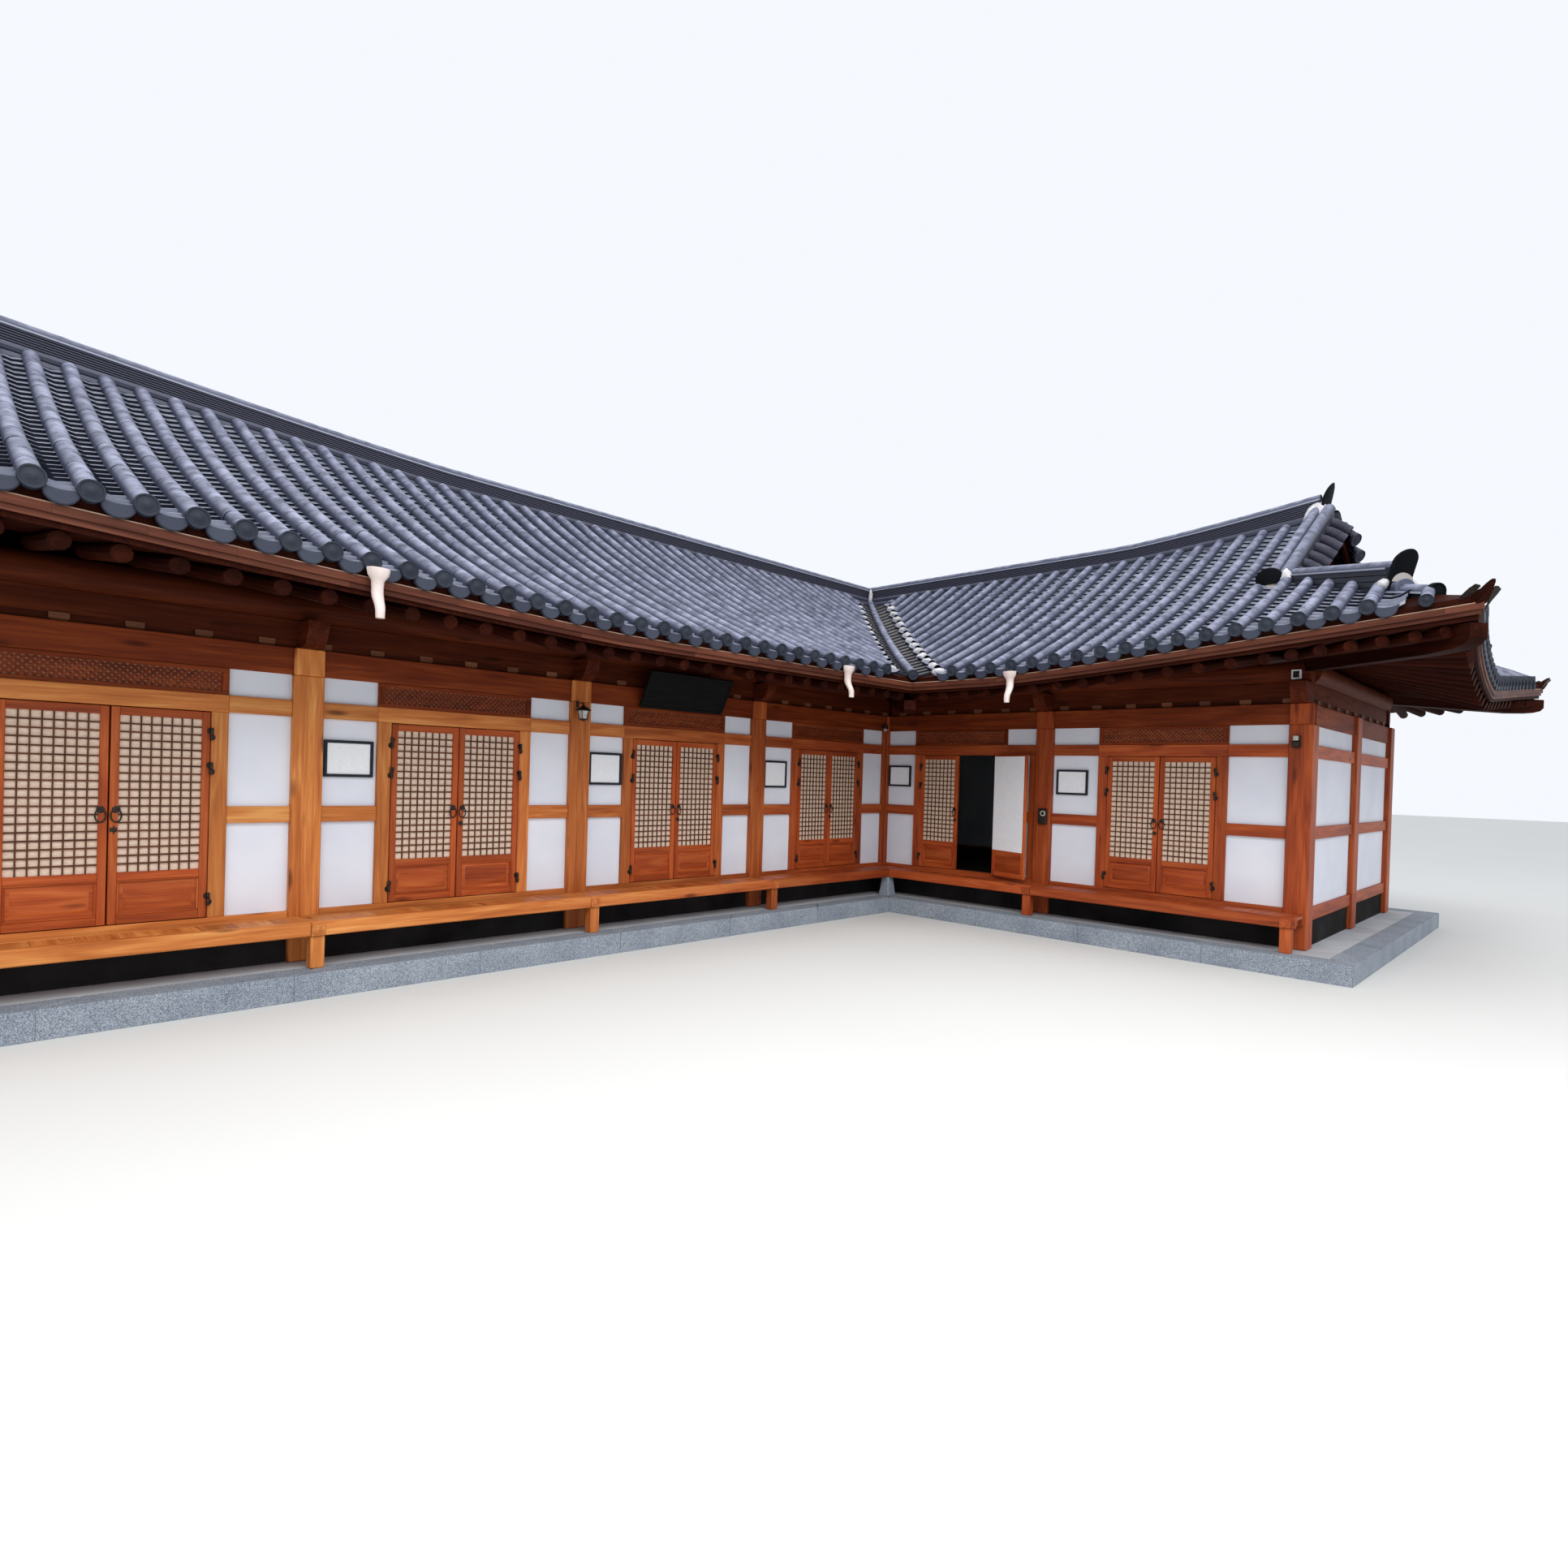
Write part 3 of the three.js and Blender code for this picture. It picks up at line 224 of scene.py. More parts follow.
class Shape:
    """Points and faces gathered for one piece, in coordinates that place turns into the frame's"""

    def __init__(self, place=unchanged):
        self.place = place
        self.points = []
        self.faces = []
        self.slots = []
        self.grains = []
        self.tones = []
        origin = place(0, 0, 0)
        x, y, z = (place(*axis) - origin for axis in ((1, 0, 0), (0, 1, 0), (0, 0, 1)))
        self.mirrored = x.cross(y).dot(z) < 0

    def add(self, points, faces, slot=0, grains=None):
        """Adds one solid or strip, with a random tone; slot is one for all faces or a list with one for each"""
        start = len(self.points)
        self.points += [self.place(*point) for point in points]
        self.grains += grains if grains else [tuple(point) for point in points]
        self.tones += [random.random()] * len(points)
        for i, face in enumerate(faces):
            loop = [start + k for k in face]
            self.faces.append(loop[::-1] if self.mirrored else loop)
            self.slots.append(slot[i] if isinstance(slot, list) else slot)

    def piece(self, name, materials, slot, body="house", replaces=(), sharp=35, closed=True):
        mesh = bpy.data.meshes.new(name)
        mesh.from_pydata(self.points, [], self.faces)
        for material in materials:
            mesh.materials.append(material)
        mesh.polygons.foreach_set("material_index", self.slots)
        grain = mesh.attributes.new("grain", "FLOAT_VECTOR", "POINT")
        grain.data.foreach_set("vector", [value for vector in self.grains for value in vector])
        tone = mesh.attributes.new("tone", "FLOAT", "POINT")
        tone.data.foreach_set("value", self.tones)
        if closed:
            face_out(mesh)
        mesh.polygons.foreach_set("use_smooth", [True] * len(mesh.polygons))
        mesh.update()
        mesh.set_sharp_from_angle(angle=math.radians(sharp))
        piece = bpy.data.objects.new(name, mesh)
        bpy.context.scene.collection.objects.link(piece)
        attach(piece, body)
        if replaces:
            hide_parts(*replaces)


def face_out(mesh):
    solid = bmesh.new()
    solid.from_mesh(mesh)
    bmesh.ops.recalc_face_normals(solid, faces=solid.faces)
    solid.to_mesh(mesh)
    solid.free()


def member_grain(points, axis):
    """Grain coordinates of one timber: first along it, then across, from a place of its own in the tree"""
    shift = [random.uniform(0, 40) for _ in range(3)]
    order = (axis, (axis + 1) % 3, (axis + 2) % 3)
    return [tuple(point[k] + shift[i] for i, k in enumerate(order)) for point in points]


def box(shape, along, out, z, bevel=0.0, axis=0, slot=0):
    """Box with its two ends along each axis, its edges cut back by bevel and its grain along one axis"""
    ends = [sorted(span) for span in (along, out, z)]
    inset = (bevel, -bevel)
    corners = [[corner >> k & 1 for k in range(3)] for corner in range(8)]
    if bevel:
        points = [tuple(ends[k][c[k]] + (0 if k == full else inset[c[k]]) for k in range(3))
                  for c in corners for full in range(3)]
    else:
        points = [tuple(ends[k][c[k]] for k in range(3)) for c in corners]
    shape.add(points, BEVELLED_FACES if bevel else BOX_FACES, slot, member_grain(points, axis))


BOX_FACES = [(0, 4, 6, 2), (1, 3, 7, 5), (0, 1, 5, 4), (2, 6, 7, 3), (0, 2, 3, 1), (4, 5, 7, 6)]


def bevelled_faces():
    """Faces of a box whose corner k has three points, each full out along one axis"""
    def at(axis, values, full):
        corner = sum(value << k for k, value in zip(axis, values))
        return corner * 3 + full
    faces = []
    for e in range(3):
        axes = (e, (e + 1) % 3, (e + 2) % 3)
        for side in (0, 1):
            face = [at(axes, (side, u, v), e) for u, v in ((0, 0), (1, 0), (1, 1), (0, 1))]
            faces.append(face if side else face[::-1])
        for u in (0, 1):
            for v in (0, 1):
                face = [at(axes, (0, u, v), axes[1]), at(axes, (1, u, v), axes[1])]
                face += [at(axes, (1, u, v), axes[2]), at(axes, (0, u, v), axes[2])]
                faces.append(face[::-1] if u == v else face)
    for corner in range(8):
        face = [corner * 3, corner * 3 + 1, corner * 3 + 2]
        faces.append(face if bin(corner).count("1") % 2 else face[::-1])
    return faces


BEVELLED_FACES = bevelled_faces()


def loft(shape, rings, slot=0, capped=True, grains=None):
    """Skin through closed rings of points; capped closes the first and last ring"""
    count = len(rings[0])
    faces = []
    for i in range(len(rings) - 1):
        for j in range(count):
            a = i * count + j
            b = i * count + (j + 1) % count
            faces.append((a, b, b + count, a + count))
    if capped:
        faces.append(tuple(range(count))[::-1])
        faces.append(tuple(range((len(rings) - 1) * count, len(rings) * count)))
    shape.add([tuple(point) for ring in rings for point in ring], faces, slot, grains)


def rod(shape, start, end, radius, sides=12, bevel=0.004, slot=0):
    """Round timber or bar between two points, with its end edges eased"""
    start, end = Vector(start), Vector(end)
    run = (end - start).normalized()
    side = run.orthogonal().normalized()
    other = run.cross(side)
    length = (end - start).length
    shift = [random.uniform(0, 40) for _ in range(3)]
    rings, grains = [], []
    thin = radius - bevel
    for reach, size in ((0, thin), (bevel, radius), (length - bevel, radius), (length, thin)):
        section = [(x * size, y * size) for x, y in circle(sides)]
        rings.append([start + run * reach + side * x + other * y for x, y in section])
        grains += [(reach + shift[0], x + shift[1], y + shift[2]) for x, y in section]
    loft(shape, rings, slot, grains=grains)


def lump(shape, centre, size, slot=0):
    """Rough dab of mortar"""
    seed = Vector([random.uniform(0, 50) for _ in range(3)])
    rings = []
    for i in range(6):
        polar = math.pi * (0.04 + 0.92 * i / 5)
        ring = []
        for x, y in circle(8):
            way = Vector((x * math.sin(polar), y * math.sin(polar), math.cos(polar)))
            reach = 0.86 + 0.3 * noise.noise(way * 1.7 + seed)
            ring.append(Vector(centre) + way * Vector(size) * reach)
        rings.append(ring)
    loft(shape, rings, slot)


# Materials

class Finish:
    """Material made of nodes, with short calls for the ones that repeat"""

    def __init__(self, name, roughness=0.6, **values):
        self.material = bpy.data.materials.new(name)
        self.material.use_nodes = True
        self.tree = self.material.node_tree
        self.shader = self.tree.nodes["Principled BSDF"].inputs
        self.shader["Roughness"].default_value = roughness
        for socket, value in values.items():
            self.shader[socket.replace("_", " ")].default_value = value

    def put(self, socket, value):
        """Links another node's output to a socket or sets its value; colours come as red, green and blue"""
        if isinstance(value, bpy.types.NodeSocket):
            self.tree.links.new(value, socket)
        else:
            socket.default_value = (*value, 1) if socket.type == "RGBA" else value

    def node(self, kind, inputs=(), **settings):
        node = self.tree.nodes.new("ShaderNode" + kind)
        for key, value in settings.items():
            setattr(node, key, value)
        for key, value in dict(inputs).items():
            self.put(node.inputs[key], value)
        return node

    def place(self):
        return self.node("TexCoord").outputs["Object"]

    def grain(self):
        return self.node("Attribute", attribute_name="grain").outputs["Vector"]

    def tone(self):
        return self.node("Attribute", attribute_name="tone").outputs["Fac"]

    def axis(self, vector, name):
        return self.node("SeparateXYZ", {"Vector": vector}).outputs[name]

    def noise(self, vector, scale, detail=4, distortion=0.0):
        inputs = {"Vector": vector, "Scale": scale, "Detail": detail, "Distortion": distortion}
        return self.node("TexNoise", inputs).outputs["Fac"]

    def scaled(self, vector, scale):
        return self.node("Mapping", {"Vector": vector, "Scale": scale}).outputs["Vector"]

    def ramp(self, value, stops):
        node = self.node("ValToRGB", {"Fac": value})
        elements = node.color_ramp.elements
        while len(elements) < len(stops):
            elements.new(0.5)
        for element, (position, colour) in zip(elements, stops):
            element.position = position
            element.color = (*colour, 1)
        return node.outputs["Color"]

    def level(self, value, low, high):
        """Value stretched so that low becomes 0 and high becomes 1"""
        inputs = {"Value": value, "From Min": low, "From Max": high}
        return self.node("MapRange", inputs).outputs["Result"]

    def plus(self, a, b):
        return self.node("Math", {0: a, 1: b}, operation="ADD").outputs["Value"]

    def times(self, a, b):
        return self.node("Math", {0: a, 1: b}, operation="MULTIPLY").outputs["Value"]

    def mix(self, factor, a, b, blend="MIX"):
        inputs = {0: factor, 6: a, 7: b}
        return self.node("Mix", inputs, data_type="RGBA", blend_type=blend).outputs[2]

    def toned(self, colour, darkest):
        """Colour darkened by the tone that each tile or timber has of its own"""
        return self.mix(1.0, colour, self.ramp(self.tone(), [(0.0, darkest), (1.0, WHITE)]), "MULTIPLY")

    def colour(self, value):
        self.put(self.shader["Base Color"], value)

    def bump(self, height, strength=0.3, distance=0.01):
        inputs = {"Height": height, "Strength": strength, "Distance": distance}
        self.put(self.shader["Normal"], self.node("Bump", inputs).outputs["Normal"])


def wood(name, stops, near=None, roughness=0.5, wear=0.3, gloss=0.2):
    """Oiled softwood: fine fibres, broad growth figure, a few knots and a tone of its own for each timber.
    stops are its dark, middle and light colours, and near those at the long wing's far end, brighter and more
    orange as painted light, while the wood towards the inner corner stays darker as painted shade"""
    finish = Finish(name, roughness, Specular_IOR_Level=gloss)
    grain = finish.grain()
    fibre = finish.noise(finish.scaled(grain, (2.5, 60, 60)), 1.0, 5)
    figure = finish.noise(finish.scaled(grain, (0.9, 11, 11)), 1.0, 3, 1.1)
    broad = finish.noise(finish.scaled(grain, (0.5, 2.2, 2.2)), 1.0, 2)
    mixed = finish.plus(finish.times(fibre, 0.3), finish.times(figure, 0.45))
    mixed = finish.plus(mixed, finish.times(broad, 0.25))
    level = finish.level(mixed, 0.36, 0.64)
    at = (0.0, 0.5, 1.0)
    colour = finish.ramp(level, list(zip(at, stops)))
    # Painted light: the near colours take over towards the long wing's far end
    if near:
        share = finish.level(finish.axis(finish.place(), "Y"), *LIT_WOOD_SPAN)
        colour = finish.mix(share, colour, finish.ramp(level, list(zip(at, near))))
    knots = finish.node("TexVoronoi", {"Vector": finish.scaled(grain, (1.3, 5, 5)), "Scale": 1.0})
    knot = finish.level(knots.outputs["Distance"], 0.16, 0.06)
    colour = finish.mix(finish.times(knot, 0.75), colour, tuple(0.45 * c for c in stops[0]))
    finish.colour(finish.toned(colour, (1 - wear,) * 3))
    finish.bump(mixed, 0.35, 0.004)
    return finish.material


def plaster_finish():
    finish = Finish("lime_plaster", 0.85)
    place = finish.place()
    cloud = finish.noise(place, 1.6, 5)
    finish.colour(finish.ramp(cloud, [(0.3, (0.69, 0.72, 0.81)), (0.7, (0.78, 0.795, 0.865))]))
    finish.bump(finish.plus(finish.noise(place, 90, 3), finish.noise(place, 7, 3)), 0.25, 0.003)
    return finish.material


def paper_finish(name, low, high):
    finish = Finish(name, 0.9)
    fibres = finish.noise(finish.scaled(finish.grain(), (9, 9, 30)), 3.0, 6)
    finish.colour(finish.ramp(fibres, [(0.3, low), (0.7, high)]))
    finish.bump(fibres, 0.15, 0.001)
    return finish.material


def tile_finish(name, dark, pale, sky_light_share=0.6, roughness=0.5, gloss=0.35):
    """Fired grey clay, painted paler where it faces the sky as painted sky light and sheen, each tile a little
    different
    """
    finish = Finish(name, roughness, Specular_IOR_Level=gloss)
    place = finish.place()
    blotch = finish.noise(place, 9, 5)
    speck = finish.noise(place, 70, 3)
    # Painted light: faces turned up to the sky take the pale colour, in blotches
    facing = finish.level(finish.axis(finish.node("NewGeometry").outputs["Normal"], "Z"), 0.25, 0.95)
    painted_sky_light = finish.times(finish.times(facing, finish.level(blotch, 0.3, 0.62)), sky_light_share)
    colour = finish.toned(finish.mix(painted_sky_light, dark, pale), (0.72, 0.73, 0.76))
    finish.colour(finish.mix(finish.level(speck, 0.66, 0.74), colour, tuple(0.5 * c for c in dark)))
    finish.bump(finish.plus(speck, blotch), 0.25, 0.004)
    return finish.material


def granite_finish():
    finish = Finish("granite", 0.8)
    place = finish.place()
    specks = [(0.38, (0.14, 0.165, 0.2)), (0.5, (0.26, 0.3, 0.35)), (0.62, (0.45, 0.49, 0.54))]
    colour = finish.ramp(finish.noise(place, 160, 2), specks)
    stain = finish.ramp(finish.noise(place, 2.2, 4), [(0.3, (0.72, 0.74, 0.78)), (0.7, WHITE)])
    finish.colour(finish.mix(1.0, colour, stain, "MULTIPLY"))
    finish.bump(finish.noise(place, 45, 5), 0.5, 0.006)
    return finish.material


def clouded(name, roughness, low, high, cloud, relief=None, at=(0.3, 0.7), **values):
    """Finish in two colours that drift by a noise: cloud is its scale and detail, and relief those of the
    noise under the bumps, then their strength and depth"""
    finish = Finish(name, roughness, **values)
    place = finish.place()
    finish.colour(finish.ramp(finish.noise(place, *cloud), list(zip(at, (low, high)))))
    if relief:
        finish.bump(finish.noise(place, *relief[:2]), *relief[2:])
    return finish.material


def cement_finish(name, low, high, gloss=0.3):
    return clouded(name, 0.9, low, high, (1.8, 6), (60, 4, 0.3, 0.003), Specular_IOR_Level=gloss)


def lacquer_finish():
    finish = Finish("black_lacquer", 0.8, Specular_IOR_Level=0.15)
    cloud = finish.noise(finish.scaled(finish.grain(), (3, 40, 40)), 1.0, 5)
    finish.colour(finish.ramp(cloud, [(0.3, (0.002, 0.0022, 0.0024)), (0.7, (0.006, 0.0066, 0.007))]))
    finish.bump(cloud, 0.3, 0.002)
    return finish.material


# The second list of each is its near colours, painted light
TIMBER = wood("honey_timber", [(0.22, 0.034, 0.009), (0.4, 0.07, 0.016), (0.54, 0.125, 0.03)],
              [(0.44, 0.115, 0.022), (0.66, 0.215, 0.05), (0.84, 0.38, 0.11)])
DOOR = wood("door_timber", [(0.24, 0.032, 0.007), (0.42, 0.07, 0.014), (0.56, 0.125, 0.028)],
            [(0.28, 0.042, 0.009), (0.44, 0.082, 0.016), (0.58, 0.15, 0.036)])
# Painted shade: bracket beams, purlins and block courses under the eaves are painted dark brown
EAVE_SHADE = wood("eave_timber", [(0.05, 0.008, 0.003), (0.09, 0.016, 0.005), (0.14, 0.028, 0.008)],
            None, 0.6, 0.35, 0.08)
# Painted shade: near-black wood for rafters, roof boards, hip rafters, horns and gable boards, standing in for
# the shade under the deep eaves and in the gable
SOFFIT_SHADE = wood("soffit_timber", [(0.014, 0.0022, 0.001), (0.028, 0.0045, 0.0018), (0.05, 0.009, 0.0032)],
              None, 0.65, 0.35, 0.05)
BEAM = wood("beam_timber", [(0.12, 0.018, 0.005), (0.21, 0.035, 0.008), (0.32, 0.065, 0.014)],
            None, 0.55, 0.35, 0.12)
FASCIA = wood("eave_board", [(0.06, 0.015, 0.008), (0.105, 0.029, 0.015), (0.17, 0.054, 0.03)],
              None, 0.55, 0.35, 0.15)
BLOCK = wood("pale_block", [(0.12, 0.04, 0.018), (0.18, 0.065, 0.03), (0.26, 0.1, 0.048)], None, 0.6)
BAR = wood("lattice_bar", [(0.07, 0.02, 0.007), (0.11, 0.036, 0.013), (0.16, 0.055, 0.02)], None, 0.6)
FRAME_WOOD = wood("sheet_frame", [(0.01, 0.012, 0.018), (0.016, 0.019, 0.028), (0.026, 0.03, 0.042)], None, 0.5)
PLASTER = plaster_finish()
PAPER = paper_finish("door_paper", (0.62, 0.45, 0.34), (0.78, 0.61, 0.49))
SHEET = paper_finish("bare_sheet", (0.78, 0.79, 0.82), (0.88, 0.89, 0.92))
ROUND = tile_finish("round_tile", (0.06, 0.068, 0.11), (0.36, 0.375, 0.51), 0.85)
FLAT = tile_finish("flat_tile", (0.08, 0.09, 0.125), (0.34, 0.365, 0.45), 0.8)
# Painted shade: near-black risers where each flat tile laps the next, on the slopes and in the valley
LAP_SHADE = tile_finish("tile_lap_shade", (0.016, 0.018, 0.028), (0.024, 0.027, 0.04), 0.5, 0.6, 0.08)
# Painted highlight: pale lips of the lowest flat tiles at the eave and the pale line under each ridge cap
EDGE_HIGHLIGHT = tile_finish("tile_edge", (0.34, 0.36, 0.44), (0.5, 0.52, 0.6), 0.6, 0.7)
DISC = tile_finish("end_tile", (0.026, 0.032, 0.046), (0.062, 0.072, 0.095), 0.6, 0.5, 0.15)
LENS = tile_finish("drip_tile", (0.045, 0.052, 0.078), (0.1, 0.112, 0.155), 0.6, 0.5, 0.2)
COURSE = tile_finish("ridge_course", (0.03, 0.032, 0.046), (0.13, 0.135, 0.175), 0.6, 0.5, 0.15)
VERGE = tile_finish("verge_tile", (0.022, 0.022, 0.04), (0.11, 0.105, 0.155), 0.7, 0.5, 0.2)
NET = tile_finish("ridge_net", (0.06, 0.062, 0.09), (0.13, 0.135, 0.18), 0.5, 0.6, 0.15)
BED_TILE = tile_finish("ridge_bed_tile", (0.055, 0.06, 0.09), (0.2, 0.205, 0.28), 0.7, 0.5, 0.25)
BLACK_TILE = tile_finish("black_end_tile", (0.004, 0.005, 0.007), (0.014, 0.016, 0.02), 0.5, 0.6, 0.06)
MORTAR = clouded("white_mortar", 0.9, (0.38, 0.37, 0.39), (0.62, 0.61, 0.63), (14, 5), (40, 5, 0.6, 0.006),
                 (0.35, 0.6))
GRANITE = granite_finish()
CEMENT = cement_finish("cement_top", (0.4, 0.42, 0.45), (0.55, 0.57, 0.6))
# Painted shade: the base under the verandas is near black, standing in for the shade there
RUBBLE_SHADE = cement_finish("floor_wall_shade", (0.01, 0.009, 0.009), (0.028, 0.026, 0.027), 0.05)
OLD_MORTAR = cement_finish("old_mortar", (0.24, 0.22, 0.205), (0.42, 0.385, 0.36))
IRON = clouded("black_iron", 0.5, (0.012, 0.01, 0.01), (0.05, 0.03, 0.022), (60, 4), (60, 4, 0.4, 0.002),
               (0.35, 0.7), Metallic=0.6)
LACQUER = lacquer_finish()
GLAZE = clouded("pale_glaze", 0.35, (0.6, 0.49, 0.455), (0.74, 0.64, 0.605), (7, 4), (25, 4, 0.2, 0.004))
LAMP_GLASS = clouded("lamp_glass", 0.25, (0.4, 0.4, 0.37), (0.6, 0.6, 0.56), (30, 3))


# Podium

def rim(margin):
    """Corners of the L-shaped plan, set out from the wall faces"""
    long_end = -(LONG.last + COLUMN_SETBACK + margin)
    short_end = SHORT.last + COLUMN_SETBACK + margin
    rear = WING_DEPTH + margin
    return [(-rear, long_end), (margin, long_end), (margin, -margin),
            (short_end, -margin), (short_end, rear), (-rear, rear)]


def make_podium():
    depth, length, joint = 0.26, 1.5, 0.004
    outer, inner = rim(PODIUM_MARGIN), rim(PODIUM_MARGIN - depth)
    kerb, top = Shape(), Shape()
    for i, start in enumerate(outer):
        after = (i + 1) % len(outer)
        corners = [Vector((*point, 0)) for point in (start, outer[after], inner[after], inner[i])]
        count = max(2, round((corners[1] - corners[0]).length / length))
        for k in range(count):
            kerb_stone(kerb, corners, k / count, (k + 1) / count, joint)
    kerb.piece("kerb", [GRANITE], "stone")
    plan = rim(PODIUM_MARGIN - depth - joint)
    loft(top, [[(x, y, z) for x, y in plan] for z in (0.0, PODIUM_TOP - 0.004)])
    top.piece("podium_top", [CEMENT], "stone", replaces=["podium"])


def kerb_stone(shape, corners, share_from, share_to, joint):
    outer_from, outer_to, inner_to, inner_from = corners
    run = (outer_to - outer_from).length
    ends = []
    for share, slack in ((share_from, joint / run), (share_to, -joint / run)):
        share = min(1, max(0, share + slack / 2))
        ends.append((outer_from.lerp(outer_to, share), inner_from.lerp(inner_to, share)))
    (a, d), (b, c) = ends
    centre = (a + b + c + d) / 4
    chamfer = 0.012
    rings = []
    for z, inset in ((0, 0), (PODIUM_TOP - chamfer, 0), (PODIUM_TOP, chamfer)):
        rings.append([point + (centre - point).normalized() * inset * 1.4 + UP * z for point in (a, b, c, d)])
    loft(shape, rings)


def make_corner_stone():
    x, y = 0.345, -0.345
    rings = []
    profile = ((0.2103, 0.095, 0.02), (0.3, 0.084, 0.019), (0.47, 0.064, 0.016), (0.4797, 0.058, 0.016))
    for z, half, cut in profile:
        edge = half - cut
        outline = [(half, -edge), (half, edge), (edge, half), (-edge, half)]
        outline += [(-side, -out) for side, out in outline]
        rings.append([(x + side, y + out, z) for side, out in outline])
    stone = Shape()
    loft(stone, rings)
    stone.piece("corner_foot", [GRANITE], "stone", replaces=["corner_stone"])


# Verandas

def make_veranda(wing, start):
    shape = Shape(wing.front)
    inner = COLUMN_PROUD + GAP
    edge = VERANDA_DEPTH - VERANDA_EDGE
    posts = wing.columns[1:]
    beam = (VERANDA_BOTTOM, FLOOR_TOP)
    stops = [start] + [post + VERANDA_POST for post in posts[:-1]] + [wing.last + COLUMN_SETBACK]
    for low, high in zip(stops, stops[1:]):
        reach = (low + SLIT, high - SLIT)
        box(shape, reach, (edge, VERANDA_DEPTH), beam, 0.008)
        box(shape, reach, (inner, inner + VERANDA_LEDGER), beam, 0.004)
        planks(shape, low, high, (inner + VERANDA_LEDGER + SLIT, edge - SLIT))
    for post in posts:
        reach = around(post, VERANDA_POST)
        box(shape, reach, (inner, VERANDA_DEPTH + 0.008), (VERANDA_BOTTOM, 0.575), 0.006, 1)
        box(shape, reach, (0.28, 0.385), (PODIUM_TOP, VERANDA_BOTTOM), 0.006, 2)
    shape.piece(f"{wing.name}_veranda_boards", [TIMBER], "timber", replaces=[f"{wing.name}_veranda"])


def planks(shape, low, high, out):
    """Floor of a veranda: short boards laid across it"""
    joints = stations(low, high, 0.24)
    for start, end in zip(joints, joints[1:]):
        box(shape, (start + SLIT, end - SLIT), out, (FLOOR_TOP - VERANDA_BOARD, FLOOR_TOP - 0.002), 0.003, 1)


# Walls

def wall_column(shape, centre, z, back=COLUMN_PROUD - COLUMN, slot=0):
    box(shape, around(centre, COLUMN / 2), (back, COLUMN_PROUD), z, 0.009, 2, slot)


def door_centre(wing, bay):
    shift = SHORT_DOOR_SHIFT if wing is SHORT and bay == 0 else 0
    return (wing.columns[bay] + wing.columns[bay + 1]) / 2 + shift


def make_bay(wing, bay):
    shape = Shape(wing.front)
    corner = wing is LONG and bay == 0
    low = wing.columns[bay] + COLUMN / 2
    high = wing.columns[bay + 1] - COLUMN / 2
    left, right = around(door_centre(wing, bay), DOORWAY / 2)
    wall = (-FRAME_DEPTH, 0)
    for centre in wing.columns[bay if corner else bay + 1:bay + 2]:
        wall_column(shape, centre, (PODIUM_TOP, WALL_TOP))
        wall_column(shape, centre, (WALL_TOP, HEAD_BEAM_TOP), -0.0097)
    box(shape, (low, high), wall, (SILL_BOTTOM, SILL_TOP), 0.005)
    box(shape, (left - JAMB, right + JAMB), wall, (LINTEL_BOTTOM, LINTEL_TOP), 0.005)
    for reach in ((CORNER_STUD if corner else low, left - JAMB), (right + JAMB, high)):
        for z in ((LINTEL_BOTTOM, LINTEL_TOP), (RAIL_BOTTOM, RAIL_TOP)):
            box(shape, reach, (-STRIP_DEPTH, -0.003), z, 0.004)
    for reach in ((left - JAMB, left), (right, right + JAMB)):
        box(shape, reach, wall, (SILL_TOP, LINTEL_BOTTOM), 0.005, 2)
    if corner:
        box(shape, (low, CORNER_STUD), wall, (SILL_TOP, WALL_TOP), 0.004, 2)
    elif bay == 0:
        box(shape, (high - 0.093, high), (-STRIP_DEPTH, -0.002), (SILL_TOP, LINTEL_BOTTOM), 0.004, 2)
    for level in HINGE_LEVELS:
        hinge_half(shape, left, -1, level - KNUCKLE_HEIGHT)
        hinge_half(shape, right, 1, level - KNUCKLE_HEIGHT)
    name = f"{wing.name}_frame_{bay + 1}"
    nodes = [name, "corner_post"] if corner else [name]
    shape.piece(f"{name}_timbers", [TIMBER, IRON], "timber", replaces=nodes)
    make_transom(wing, bay)


def hinge_half(shape, hinge, way, z):
    """Iron knuckle round the hinge line, with its oval plate"""
    rings = []
    for level, size in ((0, 0.85), (0.003, 1), (KNUCKLE_HEIGHT - 0.003, 1), (KNUCKLE_HEIGHT, 0.85)):
        radius = KNUCKLE_RADIUS * size
        rings.append([(hinge + x * radius, HINGE_PROUD + y * radius, z + level) for x, y in circle(12)])
    loft(shape, rings, 1)
    start = hinge + way * LEAF_SIDE_GAP
    middle = z + KNUCKLE_HEIGHT / 2
    rings = []
    for out, size in ((-0.002, 1.0), (0.004, 1.0), (0.007, 0.9)):
        width, half = way * 0.024 * size, KNUCKLE_HEIGHT / 2 * size
        arc = [math.pi * (0.5 - i / 8) for i in range(1, 8)]
        rings.append([(start, out, middle - half), (start, out, middle + half)] +
                     [(start + width * math.cos(turn), out, middle + half * math.sin(turn)) for turn in arc])
    loft(shape, rings, 1)
    box(shape, (start, start + way * 0.01), (0, 0.014), (z + 0.004, z + KNUCKLE_HEIGHT - 0.004), slot=1)


